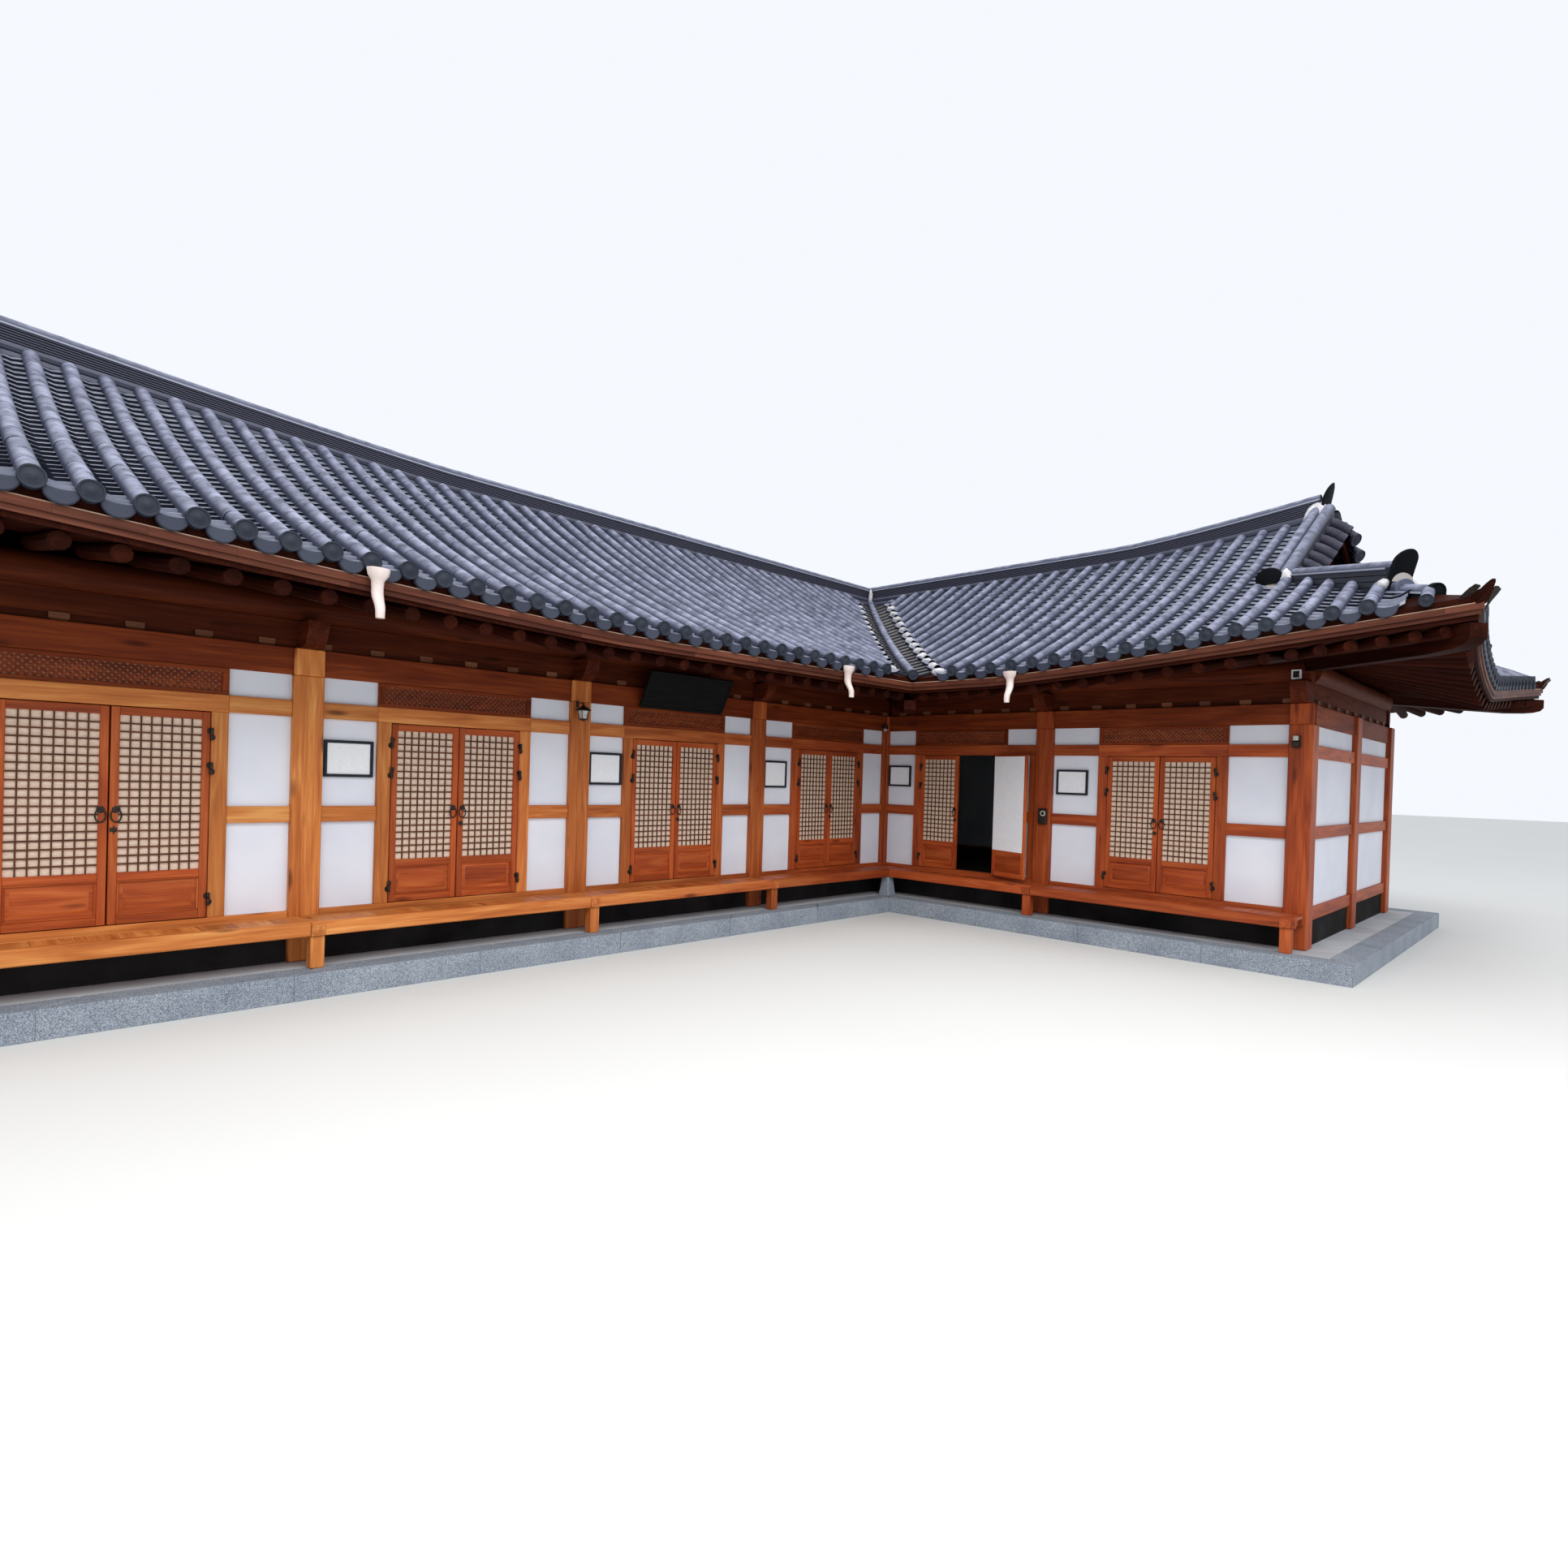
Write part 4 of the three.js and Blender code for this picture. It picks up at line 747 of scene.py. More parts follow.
def make_transom(wing, bay):
    """Framed panel of diagonal bars over the doorway"""
    shape = Shape(wing.front)
    reach, z = around(door_centre(wing, bay), DOORWAY / 2 + JAMB), (LINTEL_TOP, WALL_TOP)
    rail, stile, front = 0.034, 0.05, (-0.03, -0.006)
    box(shape, reach, (-0.0395, -0.03), z, slot=1)
    for level in rims(z, rail)[::-1]:
        box(shape, reach, front, level, 0.003)
    for along in rims(reach, stile):
        box(shape, along, front, within(z, rail), 0.003, 2)
    diagonals(shape, within(reach, stile), within(z, rail))
    shape.piece(f"{wing.name}_transom_{bay + 1}", [BEAM, TRANSOM_BACK], "dark_timber")


def diagonals(shape, reach, z):
    """Crossing slanted bars that fill a rectangle, cut off at its edges"""
    spacing, half = 0.046, 0.012019
    height = z[1] - z[0]
    for way, out in ((1, -0.02), (-1, -0.014)):
        start = reach[0] - height
        while start < reach[1] + height:
            low, high = max(start, reach[0]), min(start + height, reach[1])
            if low < high:
                foot = z[0] - start if way > 0 else z[0] + height + start
                corners = [(along, foot + way * along + shift) for along, shift in
                           ((low, -half), (high, -half), (high, half), (low, half))]
                points = [(along, depth, level) for depth in (out - 0.008, out) for along, level in corners]
                shape.add(points, [(4, 5, 6, 7), (0, 1, 5, 4), (3, 7, 6, 2)])
            start += spacing


TRANSOM_BACK = paper_finish("transom_paper", (0.42, 0.22, 0.14), (0.56, 0.34, 0.24))


# Door leaves

def leaf_place(wing, hinge, way, angle):
    """Own coordinates of a leaf: across it from the hinge, out from the wall face, and height"""
    turn, tilt = math.cos(angle), math.sin(angle)
    def place(across, out, z):
        reach = out - HINGE_PROUD
        along = across * turn - reach * tilt
        proud = across * tilt + reach * turn
        return wing.point(hinge + way * along, HINGE_PROUD + proud, z)
    return place


def make_leaf(wing, bay, way, angle):
    hinge = door_centre(wing, bay) - way * DOORWAY / 2
    shape = Shape(leaf_place(wing, hinge, way, angle))
    start, end = LEAF_SIDE_GAP, (DOORWAY - LEAF_MEETING_GAP) / 2
    low, high = SILL_TOP + LEAF_END_GAP, LINTEL_BOTTOM - LEAF_END_GAP
    inner = within((start, end), LEAF_STILE)
    lock = [low + level for level in LEAF_LOCK_RAIL]
    back = -LEAF_THICKNESS
    for reach in rims((start, end), LEAF_STILE):
        box(shape, reach, (back, 0), (low, high), 0.004, 2)
    for z in ((low, low + LEAF_RAIL), lock, (high - LEAF_RAIL, high)):
        box(shape, inner, (back, -0.002), z, 0.003)
    light = (lock[1], high - LEAF_RAIL)
    lattice(shape, inner, light, (-0.032, -0.0215), (8, 19), (0.00475, 0.006), (0.012, 0.013))
    field_panel(shape, inner, (low + LEAF_RAIL, lock[0]))
    for level in HINGE_LEVELS:
        hinge_half(shape, 0, 1, level + GAP)
    ring_handle(shape, end - 0.042, 1.52)
    if way > 0:
        hasp(shape, end, 1.367)
    lining = (back - 0.0012, back + 0.0006)
    box(shape, (start + 0.008, end - 0.03), lining, (lock[0] + 0.02, high - 0.016), slot=4)
    side = "near" if way > 0 else "far"
    node = f"{wing.name}_door_{bay + 1}_{side}"
    materials = [DOOR, IRON, BAR, PAPER, SHEET]
    shape.piece(f"{node}_leaf", materials, "door", f"{wing.name}_leaf_{bay + 1}_{side}", [node])


def lattice(shape, reach, z, paper, cells, halves, proud):
    """Square lattice in front of paper: halves and proud give half the width of its upright and level bars,
    and how far they stand out"""
    box(shape, reach, paper, z, slot=3)
    face = paper[1]
    for centre in split(*reach, cells[0])[1:-1]:
        box(shape, around(centre, halves[0]), (face, face + proud[0]), z, 0.0, 2, 2)
    for centre in split(*z, cells[1])[1:-1]:
        box(shape, reach, (face, face + proud[1]), around(centre, halves[1]), 0.0, 0, 2)


def field_panel(shape, reach, z):
    """Wood panel with a raised field and a bead round it"""
    bead, front = 0.014, (-0.02, -0.005)
    box(shape, reach, (-0.034, -0.02), z)
    for level in rims(z, bead):
        box(shape, reach, front, level, 0.004)
    for along in rims(reach, bead):
        box(shape, along, front, within(z, bead), 0.004, 2)
    rings = []
    for out, inset in ((-0.02, 0.028), (-0.012, 0.05), (-0.0115, 0.06)):
        (a, b), (c, d) = within(reach, bead + inset), within(z, bead + inset)
        rings.append([(a, out, c), (b, out, c), (b, out, d), (a, out, d)])
    loft(shape, rings, grains=member_grain([point for ring in rings for point in ring], 0))


def dial(shape, across, z, profile, sides, slot=0):
    """Round plate on a face: profile gives its radius at each distance out"""
    rings = [[(across + x * radius, out, z + y * radius) for x, y in circle(sides)] for out, radius in profile]
    loft(shape, rings, slot)


def ring_handle(shape, across, z):
    """Flat iron ring, longer than wide, on a round back plate"""
    plate = 0.027
    dial(shape, across, z, ((0.0, plate), (0.0025, plate), (0.004, plate * 0.7), (0.0055, plate * 0.3)), 14, 1)
    torus(shape, (across, 0.0055, z - 0.045), (0.032, 0.05), (0.006, 0.004))


def hasp(shape, across, z):
    """Iron plate and pin that lock the two leaves"""
    box(shape, (across - 0.05, across - 0.004), (0, 0.004), around(z, 0.016), 0.001, slot=1)
    low, high = ((across - 0.03, 0.006, level) for level in around(z, 0.03))
    rod(shape, low, high, 0.0035, 8, 0.001, 1)


def torus(shape, centre, radii, thickness):
    """Upright oval ring of iron with its half width and half height, of an oval section"""
    rings = []
    for up, side in circle(20):
        ring = [(side * (radii[0] + u * thickness[0]), v * thickness[1], up * (radii[1] + u * thickness[0]))
                for u, v in circle(8)]
        rings.append([tuple(c + p for c, p in zip(centre, place)) for place in ring])
    loft(shape, rings + rings[:1], 1, capped=False)


# Beams over the walls

def beam_run(shape, reach):
    """Head beam, bearing blocks, bracket beam and purlin along a wall"""
    box(shape, reach, (-FRAME_DEPTH - 0.01, -0.01), (WALL_TOP, HEAD_BEAM_TOP), 0.006, slot=1)
    box(shape, reach, (-0.1, -0.06), (HEAD_BEAM_TOP, BLOCK_TOP))
    box(shape, reach, (-0.145, -0.045), (BLOCK_TOP, BRACKET_TOP + 0.01), 0.006)
    places = stations(*reach, BLOCK_SPACING)
    for low, high in zip(places, places[1:]):
        bearing_block(shape, (low + high) / 2)
    round_purlin = [(x * PURLIN_RADIUS - COLUMN_SETBACK, BRACKET_TOP + PURLIN_RADIUS + y * PURLIN_RADIUS)
                    for x, y in circle(20)]
    prism(shape, round_purlin, reach, True)


def level_ring(along, out, z):
    return [(along[0], out[0], z), (along[1], out[0], z), (along[1], out[1], z), (along[0], out[1], z)]


def bearing_block(shape, centre):
    profile = ((HEAD_BEAM_TOP, 0.045, -0.05), (HEAD_BEAM_TOP + 0.02, 0.06, -0.035), (BLOCK_TOP, 0.06, -0.035))
    loft(shape, [level_ring(around(centre, half), (-0.14, out), z) for z, half, out in profile], slot=2)


def prism(shape, outline, reach, lengthwise):
    """Section of places out and up, drawn out along the wall, with its grain along it or outwards"""
    shift = random.uniform(0, 40)
    rings = [[(along, out, z) for out, z in outline] for along in reach]
    grains = [(x + shift, y, z) if lengthwise else (y + shift, x, z) for ring in rings for x, y, z in ring]
    loft(shape, rings, grains=grains)


def beam_nose(shape, centre):
    """Shaped end of a cross beam over a column"""
    outline = [(-0.09, 2.892), (0.1, 2.892), (0.16, 2.925), (0.2, 2.985), (0.232, 3.06), (0.232, 3.108),
               (-0.09, 3.108)]
    prism(shape, outline, around(centre, 0.08), False)


def make_plates():
    for wing, start in ((LONG, -0.215), (SHORT, 0.0303)):
        shape = Shape(wing.front)
        beam_run(shape, (start, wing.last + PLATE_PAST))
        for centre in wing.columns[1:]:
            beam_nose(shape, centre)
        node = f"{wing.name}_plate"
        shape.piece(f"{node}_timbers", [EAVE_SHADE, BEAM, BLOCK], "dark_timber", replaces=[node])


def outer_wall(shape, mids, reach, plate):
    for centre in mids:
        wall_column(shape, centre, (PODIUM_TOP, SILL_TOP), slot=3)
        wall_column(shape, centre, (SILL_TOP, HEAD_BEAM_TOP), -STRIP_DEPTH, 3)
    box(shape, reach, (-FRAME_DEPTH, 0), (SILL_BOTTOM, SILL_TOP), 0.005, slot=3)
    for z in ((RAIL_BOTTOM, RAIL_TOP), (LINTEL_BOTTOM, LINTEL_TOP)):
        box(shape, reach, (-STRIP_DEPTH, -0.003), z, 0.004, slot=3)
    beam_run(shape, plate)


def make_rear_wall(wing):
    shape = Shape(wing.rear)
    mids = REAR_MIDS + wing.columns[1:-1]
    plate_from = OUTER_CORNER + (-PLATE_PAST if wing is LONG else PURLIN_RADIUS + GAP)
    reach = (OUTER_CORNER + COLUMN / 2, wing.last - COLUMN / 2)
    outer_wall(shape, mids, reach, (plate_from, wing.last + PLATE_PAST))
    for centre in [OUTER_CORNER, wing.last] if wing is LONG else [wing.last]:
        wall_column(shape, centre, (PODIUM_TOP, HEAD_BEAM_TOP), slot=3)
    node = f"{wing.name}_rear_frame"
    shape.piece(f"{node}_timbers", [EAVE_SHADE, BEAM, BLOCK, TIMBER], "timber", replaces=[node])
    for i, centre in enumerate(wing.rear_windows):
        make_window(wing, centre, f"{wing.name}_rear_window_{i + 1}")


def make_end_wall(wing):
    shape = Shape(wing.end)
    reach = (-WING_DEPTH + COLUMN - COLUMN_PROUD + GAP, COLUMN_PROUD - COLUMN - GAP)
    purlin_end = COLUMN_SETBACK + PURLIN_RADIUS + GAP
    outer_wall(shape, [-RIDGE_LINE], reach, (purlin_end - WING_DEPTH, -purlin_end))
    node = f"{wing.name}_end_frame"
    shape.piece(f"{node}_timbers", [EAVE_SHADE, BEAM, BLOCK, TIMBER], "timber", replaces=[node])


def make_window(wing, centre, node):
    shape = Shape(wing.rear)
    reach, z = around(centre, 0.5497), (RAIL_TOP + GAP, LINTEL_BOTTOM - GAP)
    border, mullion = 0.06, 0.025
    for along in rims(reach, border):
        box(shape, along, (-0.14, -0.002), z, 0.004, 2)
    for level in rims(z, border):
        box(shape, within(reach, border), (-0.14, -0.004), level, 0.004)
    box(shape, around(centre, mullion), (-0.075, -0.012), within(z, border), 0.003, 2)
    for light in ((reach[0] + border, centre - mullion), (centre + mullion, reach[1] - border)):
        lattice(shape, light, within(z, border), (-0.08, -0.066), (7, 10), (0.006, 0.006), (0.011, 0.012))
    shape.piece(f"{node}_lattice", [DOOR, IRON, BAR, PAPER], "door", replaces=[node])


# Roof surface, as in the frame's own slab

def eave_lift(wing, distance):
    return CORNER_LIFT * max(0.0, 1 - distance / wing.lift_run) ** LIFT_POWER


def outer_lift(along, across):
    share = max(0.0, 1 - (along + RIDGE_LINE + HALF_SPAN) / HALF_SPAN)
    return CORNER_LIFT * share ** LIFT_POWER * max(0.0, across / HALF_SPAN)


def slope_rise(from_eave):
    t = min(1.0, from_eave / (HALF_SPAN - RIDGE_SEAT))
    return ROOF_RISE * (STRAIGHT_SHARE * t + (1 - STRAIGHT_SHARE) * t * t)


def main_top(wing, along, across):
    lift = eave_lift(wing, wing.end_eave - along) + outer_lift(along, across)
    return EAVE_TOP + slope_rise(HALF_SPAN - abs(across)) + lift


def end_lift_run(wing, sideways):
    return sideways + (wing.lift_run - HALF_SPAN) * (sideways / HALF_SPAN) ** 3


def end_top(wing, along, across):
    sideways = max(0.0, HALF_SPAN - abs(across))
    return EAVE_TOP + slope_rise(wing.end_eave - along) + eave_lift(wing, end_lift_run(wing, sideways))


def edge_lift(wing, along, across):
    """Lift of the eaves at the nearest point of the edge"""
    from_end = wing.end_eave - along
    from_side = HALF_SPAN - abs(across)
    run = end_lift_run(wing, max(0.0, from_side)) if from_end < from_side else max(0.0, from_end)
    return eave_lift(wing, run) + outer_lift(along, across)


def rafter_axis(from_eave, lift):
    if from_eave > PURLIN_RUN:
        return RAFTER_AXIS[1] + INNER_SLOPE * (from_eave - PURLIN_RUN)
    share = (from_eave - RAFTER_FOOT) / (PURLIN_RUN - RAFTER_FOOT)
    return RAFTER_AXIS[0] + (RAFTER_AXIS[1] - RAFTER_AXIS[0]) * share + lift * (1 - from_eave / PURLIN_RUN)


# Tiles

def upward(run, side):
    up = side.cross(run).normalized()
    return up if up.z > 0 else -up


def path_frames(points, side, plumb=False):
    """Point, sideways and upward directions along a path; plumb stands its first section upright"""
    frames = []
    for i, point in enumerate(points):
        run = points[min(i + 1, len(points) - 1)] - points[max(i - 1, 0)]
        frames.append((point, side, UP if plumb and i == 0 else upward(run, side)))
    return frames


def strip_faces(rings, count, flip):
    faces = []
    for i in range(rings - 1):
        for j in range(count - 1):
            a = i * count + j
            face = (a, a + count, a + count + 1, a + 1)
            faces.append(face[::-1] if flip else face)
    return faces


def round_row(shape, points, side, radius=ROUND_RADIUS, axis=ROUND_AXIS, slot=0, plumb=False):
    """Half-round tiles laid one on the next from the first point up, their joints barely stepped"""
    frames = path_frames(points, side, plumb)
    arc = [math.radians(-35 + 250 * i / 12) for i in range(13)]
    flip = side.cross(points[-1] - points[0]).dot(frames[0][2]) < 0
    for low, high in zip(frames, frames[1:]):
        vertices = []
        shift = random.uniform(-0.003, 0.003)
        for (point, _, up), size in ((low, 0.95), (low, 1.0), (high, 0.975)):
            for angle in arc:
                way = side * (math.cos(angle) * radius * size + shift)
                vertices.append(tuple(point + way + up * (axis + math.sin(angle) * radius * size)))
        shape.add(vertices, strip_faces(3, len(arc), flip), slot)


def flat_row(shape, points, side, half, slots=(0, 1), base=0.0, pale_edges=0):
    """Dished tiles lapped up the slope between two rows of round ones; each riser takes the second slot, which
    on the slopes is painted shade, and the lowest risers at the eave are painted pale as highlights
    """
    frames = path_frames(points, side, pale_edges > 0)
    shares = (-1, -0.5, 0, 0.5, 1)
    flip = side.cross(points[-1] - points[0]).dot(frames[0][2]) > 0
    for i, (low, high) in enumerate(zip(frames, frames[1:])):
        vertices = []
        for (point, _, up), step in ((low, -0.006), (low, FLAT_STEP), (high, 0.0)):
            for share in shares:
                height = FLAT_LOW + (FLAT_HIGH - FLAT_LOW) * share * share + step + base
                vertices.append(tuple(point + side * half * share + up * height))
        count = len(shares) - 1
        # Riser faces first: painted highlight at the eave, otherwise the second slot, the painted-shade lap
        # colour on the slopes
        slot = [2 if i < pale_edges else slots[1]] * count + [slots[0]] * count
        shape.add(vertices, strip_faces(3, len(shares), flip), slot)


def end_disc(shape, point, side, up, run, radius=ROUND_RADIUS, slot=2, axis=ROUND_AXIS, proud=0.04):
    """Round end of a row at the eave: rim, sunk field and boss, standing out past the flat tiles"""
    centre = point + up * axis
    profile = ((0.03 + proud, 1.0), (0.004, 1.03), (0, 1.0), (0.001, 0.86), (0.006, 0.8), (0.006, 0.42),
               (0.001, 0.3), (0, 0.06))
    rings = [[centre + run * (reach - proud) + (side * x + up * y) * radius * size for x, y in circle(18)]
             for reach, size in profile]
    loft(shape, rings, slot)


def drip_tile(shape, point, side, up, run):
    """Lip of a flat tile at the eave: dished on top, a half moon below that comes down to the eave board"""
    half, steps = 0.1, 10
    shares = split(-1, 1, steps)
    rings = []
    for reach, inset in ((0.02, 0.0), (-0.014, 0.0), (-0.02, 0.006)):
        outline = []
        for share in shares:
            outline.append((share, FLAT_LOW + FLAT_STEP + 0.022 * share * share - inset))
        for share in shares[-2:0:-1]:
            top = FLAT_LOW + FLAT_STEP + 0.022 * share * share
            outline.append((share, top - (top - FASCIA_TOP - 0.003) * (1 - share * share) ** 0.55 + inset))
        rings.append([point + side * (half - inset) * share + up * z + run * reach for share, z in outline])
    loft(shape, rings, slot=3)


def level_run(points):
    run = points[1] - points[0]
    return Vector((run.x, run.y, 0)).normalized()


def tile_slope(rounds, mortar, rows, at, side):
    """Round rows of one slope: rows gives the place of each with its lowest and highest distance
    from the eave, and at turns such a place and distance into a point"""
    for place, low, high in rows:
        if high - low < SHORTEST_ROW:
            continue
        points = [at(place, e) for e in stations(low, high, ROUND_LENGTH)]
        at_eave = low < AT_EAVE
        size, axis = (0.8, ROUND_AXIS - 0.03) if high < 0.5 else (1.0, ROUND_AXIS)
        round_row(rounds, points, side, ROUND_RADIUS * size, axis, plumb=at_eave)
        if at_eave:
            end_disc(rounds, points[0], side, UP, level_run(points), ROUND_RADIUS * 1.03 * size, axis=axis)
        elif mortar is not None:
            lump(mortar, points[0] + upward(points[1] - points[0], side) * 0.07, (0.1, 0.1, 0.065))


def tile_troughs(flats, rows, at, side, step, span):
    """Flat rows between the round ones; span gives the lowest and highest distance from the eave of each"""
    for place, next_place in zip(rows, rows[1:]):
        wide = next_place - place > step * 1.2
        middle = place + step / 2 if place > 0 or not wide else next_place - step / 2
        low, high = span(middle)
        if high - low < SHORTEST_ROW:
            continue
        points = [at(middle, e) for e in stations(low, high, FLAT_LENGTH)]
        at_eave = low < AT_EAVE
        flat_row(flats, points, side, step / 2 + 0.004, pale_edges=3 if at_eave else 0)
        if at_eave:
            drip_tile(flats, points[0], side, UP, level_run(points))


def main_row_span(wing, slope, along, trough=False):
    """Lowest and highest distance from the eave of a row on a main slope. Rows past the verge end at the
    hip, and the row below the verge's black tile ends at its foot"""
    low, high = 0.0, HALF_SPAN - RIDGE_SEAT
    from_end = wing.end_eave - along
    if along > wing.last - (HIP_TROUGHS if trough else HIP_ROUNDS):
        high = min(high, from_end)
    if not trough and abs(along - wing.last + VERGE_ROW) < VERGE_ROW_REACH:
        high = min(high, HALF_SPAN - VERGE_FOOT)
    if slope < 0:
        low = max(low, EAVE_OUT - along + VALLEY_HALF * math.sqrt(2))
    else:
        high = min(high, RIDGE_LINE + HALF_SPAN + along)
    return low, high


def make_slope(wing, slope):
    rounds, flats, mortar = Shape(), Shape(), Shape()
    start = -RIDGE_LINE - (HALF_SPAN - CORNER_CLEAR if slope > 0 else -VALLEY_START)
    last = wing.end_eave - CORNER_CLEAR
    places = stations(start, last - LAST_PITCH, ROW_SPACING)
    step = places[1] - places[0]
    places.append(last)
    def at(along, e):
        across = slope * (HALF_SPAN - e)
        return wing.roof(along, across, main_top(wing, along, across))
    rows = [(along, *main_row_span(wing, slope, along)) for along in places]
    tile_slope(rounds, mortar if slope < 0 else None, rows, at, wing.along)
    tile_troughs(flats, places, at, wing.along, step, lambda along: main_row_span(wing, slope, along, True))
    finish_slope(rounds, flats, mortar, f"{wing.name}_{SLOPE_NAMES[slope]}")


def make_end_slope(wing):
    """Tiles of the hipped end; next to each corner only dished ones"""
    rounds, flats = Shape(), Shape()
    reach = HALF_SPAN - CORNER_CLEAR - LAST_PITCH
    places = stations(-reach, reach, ROW_SPACING)
    step = places[1] - places[0]
    def at(across, e):
        along = wing.end_eave - e
        return wing.roof(along, across, end_top(wing, along, across))
    def span(across):
        return 0.0, min(GABLE_FROM_EAVE, HALF_SPAN - abs(across))
    tile_slope(rounds, None, [(across, *span(across)) for across in places], at, -wing.out)
    tile_troughs(flats, [-reach - step] + places + [reach + step], at, -wing.out, step, span)
    finish_slope(rounds, flats, Shape(), f"{wing.name}_end")


def finish_slope(rounds, flats, mortar, name):
    rounds.piece(f"{name}_round_tiles", [ROUND, EDGE_HIGHLIGHT, DISC], "tile", closed=False)
    flats.piece(f"{name}_flat_tiles", [FLAT, LAP_SHADE, EDGE_HIGHLIGHT, LENS], "tile", closed=False)
    if mortar.points:
        mortar.piece(f"{name}_mortar", [MORTAR], "tile", sharp=60)


def make_valley():
    """Gutter between the wings: dished tiles each side of one row of round tiles"""
    shape = Shape()
    side = Vector((1, 1, 0)).normalized()
    def at(e, shift=0.0):
        place = Vector((EAVE_OUT - e, e - EAVE_OUT, 0)) + side * shift
        return place + UP * (EAVE_TOP + slope_rise(e + abs(shift) / math.sqrt(2)))
    section = ((0.03, 0.05), (0.1, 0.042), (0.18, 0.04), (0.26, 0.04), (0.36, 0.036))
    runs = stations(0.0, 3.66, FLAT_LENGTH * 1.1)
    for way in (-1, 1):
        for low, high in zip(runs, runs[1:]):
            vertices = [tuple(at(e, way * shift) + UP * (height + step))
                        for e, step in ((low, -0.006), (low, FLAT_STEP), (high, 0.0))
                        for shift, height in section[::way]]
            # Step faces take the lap colour, painted shade
            shape.add(vertices, strip_faces(3, len(section), False), [3] * 4 + [1] * 4)
    points = [at(e) for e in stations(0.0, 3.72, 0.35)]
    run, axis = (points[1] - points[0]).normalized(), 0.09
    round_row(shape, points, side, 0.062, axis)
    end_disc(shape, points[0], side, upward(run, side), run, 0.064, axis=axis)
    lump(shape, points[-1] + Vector((0.06, -0.06, 0.2)), (0.045, 0.045, 0.14), 4)
    shape.piece("valley_tiles", [ROUND, VALLEY, DISC, LAP_SHADE, MORTAR], "tile", closed=False)


VALLEY = tile_finish("valley_tile", (0.06, 0.052, 0.05), (0.2, 0.185, 0.18), 0.6)


# Under the tiles


def roof_layer(wing, along, across, top):
    """Height of the top or the underside of the boards with their clay bed"""
    from_end = wing.end_eave - along
    from_side = HALF_SPAN - abs(across)
    if top:
        over = from_end < GABLE_FROM_EAVE and from_end < from_side
        return (end_top if over else main_top)(wing, along, across) + 0.03
    return rafter_axis(min(from_end, from_side), edge_lift(wing, along, across)) + RAFTER_RADIUS + 0.002


def closed_grid(shape, grids):
    """Joins two grids of points, the first below the other, into one closed solid"""
    rows, columns = len(grids[0]), len(grids[0][0])
    layer = rows * columns
    faces = []
    for i in range(rows - 1):
        for j in range(columns - 1):
            a = i * columns + j
            face = (a, a + 1, a + columns + 1, a + columns)
            faces += [face, tuple(layer + k for k in reversed(face))]
    edge = list(range(columns)) + [i * columns + columns - 1 for i in range(1, rows)]
    edge += [(rows - 1) * columns + j for j in range(columns - 2, -1, -1)]
    edge += [i * columns for i in range(rows - 2, 0, -1)]
    for a, b in zip(edge, edge[1:] + edge[:1]):
        faces.append((b, a, a + layer, b + layer))
    shape.add([tuple(point) for grid in grids for line in grid for point in line], faces)


def make_under_roof(wing):
    """Boards over the rafters, with the clay bed on them, as one closed slab"""
    inset, joint = 0.035, 4.1
    rows = [e - HALF_SPAN for e in (inset, RAFTER_FOOT, 0.5, 1.0, PURLIN_RUN, 2.1, 3.0, 3.725)]
    rows += [0.0] + [-across for across in reversed(rows)]
    ends = [wing.end_eave - e for e in (2.1, 2.044, PURLIN_RUN, 1.0, 0.5, RAFTER_FOOT, inset)]
    middle = split(joint, wing.end_eave - 3.0, 5) if wing is LONG else [joint]
    grids = []
    for top in (False, True):
        grid = []
        for across in rows:
            line = split(GAP - RIDGE_LINE - across, joint, 12)[:-1] + middle + ends
            grid.append([wing.roof(along, across, roof_layer(wing, along, across, top)) for along in line])
        grids.append(grid)
    shape = Shape()
    closed_grid(shape, grids)
    shape.piece(f"{wing.name}_roof_boards", [SOFFIT_SHADE], "dark_timber", replaces=[f"{wing.name}_roof"])


def rafter(shape, wing, foot, head, foot_z, head_z):
    rod(shape, wing.roof(*foot, foot_z), wing.roof(*head, head_z), RAFTER_RADIUS, 10, 0.006)


def make_rafters(wing):
    shape = Shape()
    for slope in (-1, 1):
        low = EAVE_OUT + 0.12 if slope < 0 else OUTER_CORNER
        for along in stations(low, wing.last, RAFTER_SPACING):
            straight_rafter(shape, wing, slope, along)
        along = EAVE_OUT - 0.18
        while slope < 0 and along > 0.3 - RIDGE_LINE:
            straight_rafter(shape, wing, slope, along, EAVE_OUT - along + 0.12)
            along -= RAFTER_SPACING
        fan(shape, wing, slope)
    across = -RIDGE_LINE + 0.15
    while across < RIDGE_LINE:
        foot, head = wing.end_eave - RAFTER_FOOT, wing.end_eave - PURLIN_RUN - 0.1
        foot_z = rafter_axis(RAFTER_FOOT, edge_lift(wing, foot, across))
        rafter(shape, wing, (foot, across), (head, across), foot_z, rafter_axis(PURLIN_RUN + 0.1, 0))
        across += RAFTER_SPACING
    shape.piece(f"{wing.name}_rafters", [SOFFIT_SHADE], "dark_timber")


